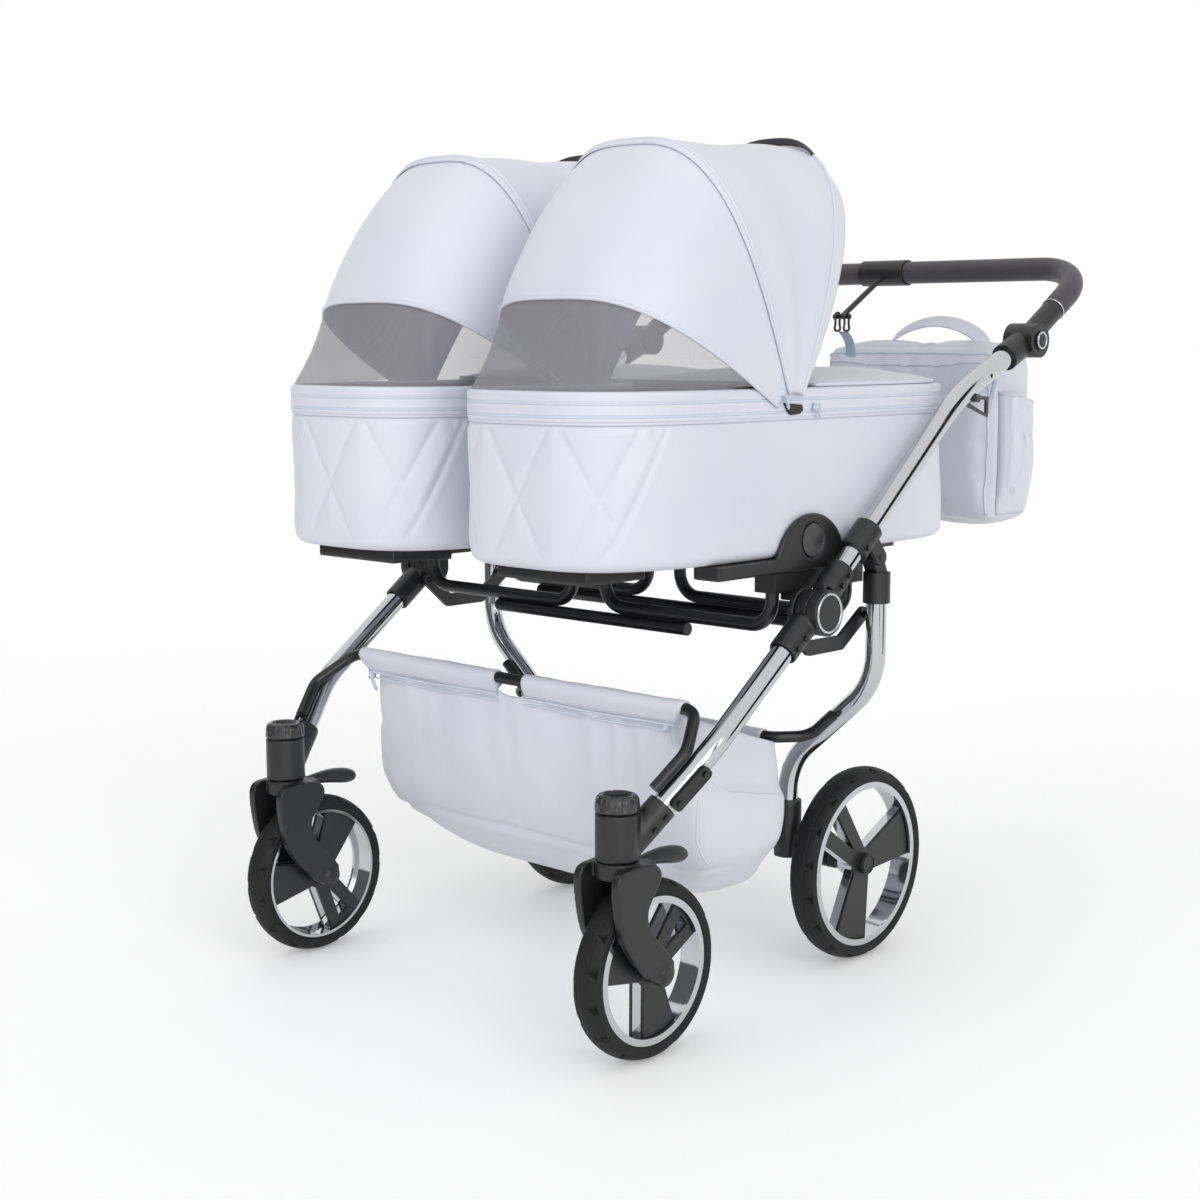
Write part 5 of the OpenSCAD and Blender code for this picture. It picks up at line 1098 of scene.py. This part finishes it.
frontY, frontZ = -basket["frontY"], basket["frontZ"]
for side, sign in sides:
    xs = np.linspace(sleeve["gap"], sleeve["end"], 70)
    points, faces = hemMesh(xs, frontY, frontZ, sleeve["radius"], sleeve["hem"], 0.0 if sign > 0 else 2.0)
    newPiece(f"railHem.{side}", mirrored(points, sign), flipped(faces, -sign), [paleLeatherette],
             "front_frame", "leatherette")
    for n in (0, 1):
        z = frontZ - sleeve["hem"] - 2 - sleeve["zip"] * n + 0.8 * np.sin(xs / 37)
        line = np.column_stack([sign * xs * sleeve["taper"], np.full(len(xs), frontY - 3.6), z]) * mm
        newPiping(f"basketZip{n}.{side}", line, 1.7 - 0.4 * n, "front_frame", paleZip)
    pull = pullMesh(sleeve["end"] * sleeve["taper"] - 10, frontY - 6, frontZ - sleeve["hem"] - 6, 24, sign)
    newPiece(f"basketPull.{side}", *pull, [paleZip], "front_frame", "leatherette")
xs = np.linspace(-sleeve["rearEnd"], sleeve["rearEnd"], 110)
points, faces = hemMesh(xs, -basket["rearY"], basket["rearZ"], sleeve["radius"], sleeve["rearHem"], 1.0)
newPiece("rearHem", points, flipped(faces, -1), [paleLeatherette], "rear_leg_frame", "leatherette")
print("basket ready")


# changing bag: shares of height and outline, from its floor to its top

bag = {"left": 284, "right": -68, "front": 431, "back": 549, "low": 607, "high": 889, "power": 8,
       "around": 160, "swell": 7 * mm, "seamIn": 16, "flapSeam": 862, "zip": 876,
       "levels": [(0, 0.86), (0.012, 0.93), (0.04, 0.965), (0.12, 0.98), (0.3, 0.985), (0.6, 0.985),
                  (0.85, 0.975), (0.94, 0.95), (0.975, 0.9), (0.99, 0.8)]}
halfWide, halfDeep = (bag["left"] - bag["right"]) / 2, (bag["back"] - bag["front"]) / 2


def bagRing(share, scale, count):
    x = bag["right"] + halfWide * (1 + scale * power(np.cos(fullTurn), bag["power"]))
    y = bag["front"] + halfDeep * (1 + scale * power(np.sin(fullTurn), bag["power"]))
    ring = resample(np.stack([x, y], 1), count, True)
    return atHeight(ring, bag["low"] + (bag["high"] - bag["low"]) * share)


grid = np.array([bagRing(share, scale, bag["around"]) for share, scale in bag["levels"]])
bagPiece = clothSwell("bag.body", grid.reshape(-1, 3) * mm, cappedFaces(*grid.shape[:2]), paleLeatherette,
                      bag["swell"])
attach(bagPiece, "upper_frame")
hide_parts("bag")
bagSkin = skinTree(bagPiece)


def onBag(x, y, z, lift):
    # the point of the bag's skin nearest to a place, lifted off it
    place, normal, _, _ = bagSkin.find_nearest(Vector((x, y, z)) * mm)
    return np.array(place + normal * lift * mm)


ahead = bag["front"] - 10
for name, x in (("near", bag["left"] - bag["seamIn"]), ("far", bag["right"] + bag["seamIn"])):
    line = [onBag(x, ahead, z, 0.6) for z in np.linspace(bag["low"] + 10, bag["high"] - 20, 50)]
    newPiping(f"bagSeam.{name}", line, 1.5, "upper_frame")
flap = [onBag(x, ahead, bag["flapSeam"] - 5 * math.sin((x - bag["right"]) / (2 * halfWide) * math.pi), 0.8)
        for x in np.linspace(bag["right"] + 8, bag["left"] - 8, 70)]
newPiping("bag.flapSeam", flap, 1.6, "upper_frame")
zipRing = [onBag(x, y, bag["zip"], 0.6) for x, y in bagRing(1, 1.05, 150)[:, :2]]
newPiping("bag.zip", zipRing, 1.5, "upper_frame", paleZip, closed=True)
# pocket on the near gusset
pocketForm = {"swell": 27, "top": 812, "fall": 26, "margin": 4, "foot": bag["low"] + 3, "rows": 30,
              "across": 36, "fullAt": 0.62, "cloth": 1.2}
pocketRows = []
for k in np.linspace(0, 1, pocketForm["rows"]):
    row = []
    for u in np.linspace(0, 1, pocketForm["across"]):
        y = bag["front"] + pocketForm["margin"] + (2 * halfDeep - 2 * pocketForm["margin"]) * u
        z = pocketForm["foot"] + (pocketForm["top"] - pocketForm["fall"] * u - pocketForm["foot"]) * k
        bulge = math.sin(math.pi / 2 * min(1.0, k / pocketForm["fullAt"])) ** 0.8 * (1 - 0.12 * k)
        bulge = bulge * math.sin(math.pi * u ** 0.8) ** 0.85
        row.append(onBag(bag["left"] + 12, y, z, -0.4) + np.array([pocketForm["swell"] * bulge * mm, 0, 0]))
    pocketRows.append(row)
pocketRows = np.array(pocketRows)
pocket = twoSkins("bag.pocket", pocketRows[:, ::-1], pocketForm["cloth"] * mm,
                  [paleLeatherette, paleLeatherette], "upper_frame", "leatherette")
for n, row in enumerate((pocketRows[-1], pocketRows[-4])):
    newPiping(f"bag.pocketEdge{n}", row + np.array([0.5 * mm, 0, 0]), 1.8 - 0.8 * n, "upper_frame")


def newStrap(name, path, width, thickness, across, finish):
    # a flat strap with soft corners along a path in mm
    path = np.asarray(path, float) * mm
    across = np.array(across, float)
    tangent = unit(np.gradient(path, axis=0))
    side = unit(across - tangent * (tangent @ across)[:, None])
    flat = np.cross(tangent, side)
    corners = [(-1, -0.7), (-0.94, -1), (0.94, -1), (1, -0.7), (1, 0.7), (0.94, 1), (-0.94, 1), (-1, 0.7)]
    wide, thick = width * mm / 2, thickness * mm / 2
    grid = np.stack([path + side * (u * wide) + flat * (v * thick) for u, v in corners], 1)
    newPiece(name, grid.reshape(-1, 3), cappedFaces(*grid.shape[:2]), [finish], "upper_frame", "leatherette")


bagHandle = {"from": 37, "to": 218, "y": 490, "top": 932, "sunk": 10, "width": 26, "thick": 3.4}
handleLine = []
for k in np.linspace(0, 1, 40):
    x = bagHandle["from"] + (bagHandle["to"] - bagHandle["from"]) * k
    base = onBag(x, bagHandle["y"], bag["high"] + 20, 0.0)[2] / mm
    z = base - bagHandle["sunk"] + (bagHandle["top"] - base) * math.sin(math.pi * k) ** 0.6
    handleLine.append((x, bagHandle["y"], z))
newStrap("bag.handle", handleLine, bagHandle["width"], bagHandle["thick"], (0, 0.8, 0.6), paleLeatherette)
# the straps to the ring on the tube and to the snap hooks
strapRing = [(358.8, 275.8, 796), (352, 290, 797), (330, 330, 806), (300, 385, 822), (276, 428, 836),
             (262, 452, 842)]
newStrap("bag.strapNear", resample(strapRing, 40), 20, 2.6, (0, 0, 1), paleWebbing)
strapHook = [(0, 412, 905), (0, 420, 899), (0, 429, 888), (0, 433, 872), (0, 432.5, 850), (0, 431.5, 815)]
newStrap("bag.strapFar", resample(strapHook, 30), 18, 2.4, (1, 0, 0), paleWebbing)
# snap hooks: open loops on the rod's end, from the top down one side, and the same up the other
hookHalf = [(5, 935), (6.6, 930), (5.6, 923), (5.8, 917), (7.6, 911), (5.5, 907.6)]
hookLine = [(0, 936.5)] + hookHalf + [(0, 907)] + [(-y, z) for y, z in reversed(hookHalf)]
hookForm = {"x": 9, "y": 407, "wire": 2.0 * mm}
loops = []
for way in (1, -1):
    line = resample([(way * hookForm["x"], hookForm["y"] + y, z) for y, z in hookLine], 60, True) * mm
    loops.append(tubeMesh(line, hookForm["wire"], closed=True))
hooks = newPiece("snapHooks", *joined(loops), [smokeCap], "snap_hooks", "grey_plastic")
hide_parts("bag_clips")
print("bag ready")


# handle grip: stitched leatherette round the bar, bright rings at its ends

joint, cornerAt = np.array([376, 346, 892]), np.array([376, 529, 1002])
armLength = np.linalg.norm(cornerAt - joint)
armWay = (cornerAt - joint) / armLength
grip = {"radius": 18, "start": armLength * 0.413 + 0.2, "bend": armLength * 0.4, "stitch": 5.5, "thread": 0.7,
        "ring": 17.0, "wire": 1.3, "around": 240}
begin = joint + armWay * grip["start"]
corners = [point * mm for point in (begin, cornerAt, mirrored(cornerAt, -1), mirrored(begin, -1))]
path = resample(roundPath(corners, grip["bend"] * mm, 26), grip["around"])
ends = np.linspace(0, 1, grip["around"])
swell = grip["radius"] * mm * (1 - 0.10 * np.exp(-np.minimum(ends, 1 - ends) / 0.006))
gripPiece = newTube("handleGrip.cover", path, swell, blackLeatherette, "handlebar", "grip_leather",
                    sidesCount=40)
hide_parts("handle_grip")
# a row of stitches under the bar
ringWay = np.cross(armWay, [1, 0, 0])
under = unit(ringWay if ringWay[2] < 0 else -ringWay)
stitchCount = int(armLength * 2.6 / grip["stitch"]) + 150
seamPath = resample(path + under * (grip["radius"] + 0.2) * mm, stitchCount)
stitches = [tubeMesh(seamPath[k:k + 2], grip["thread"] * mm, 6) for k in range(2, stitchCount - 3, 2)]
newPiece("handleGrip.stitches", *joined(stitches), [blackNylon], "handlebar", "grip_leather")
for side, sign in sides:
    t = circleSpots(64)[:, None]
    end = joint + armWay * (grip["start"] + 0.5)
    ring = end + (np.cos(t) * [1, 0, 0] + np.sin(t) * ringWay) * grip["ring"]
    newTube(f"gripRing.{side}", mirrored(ring * mm, sign), grip["wire"] * mm, mirrorChrome, "handlebar",
            "chrome", closed=True, sidesCount=10)
print("handle ready")
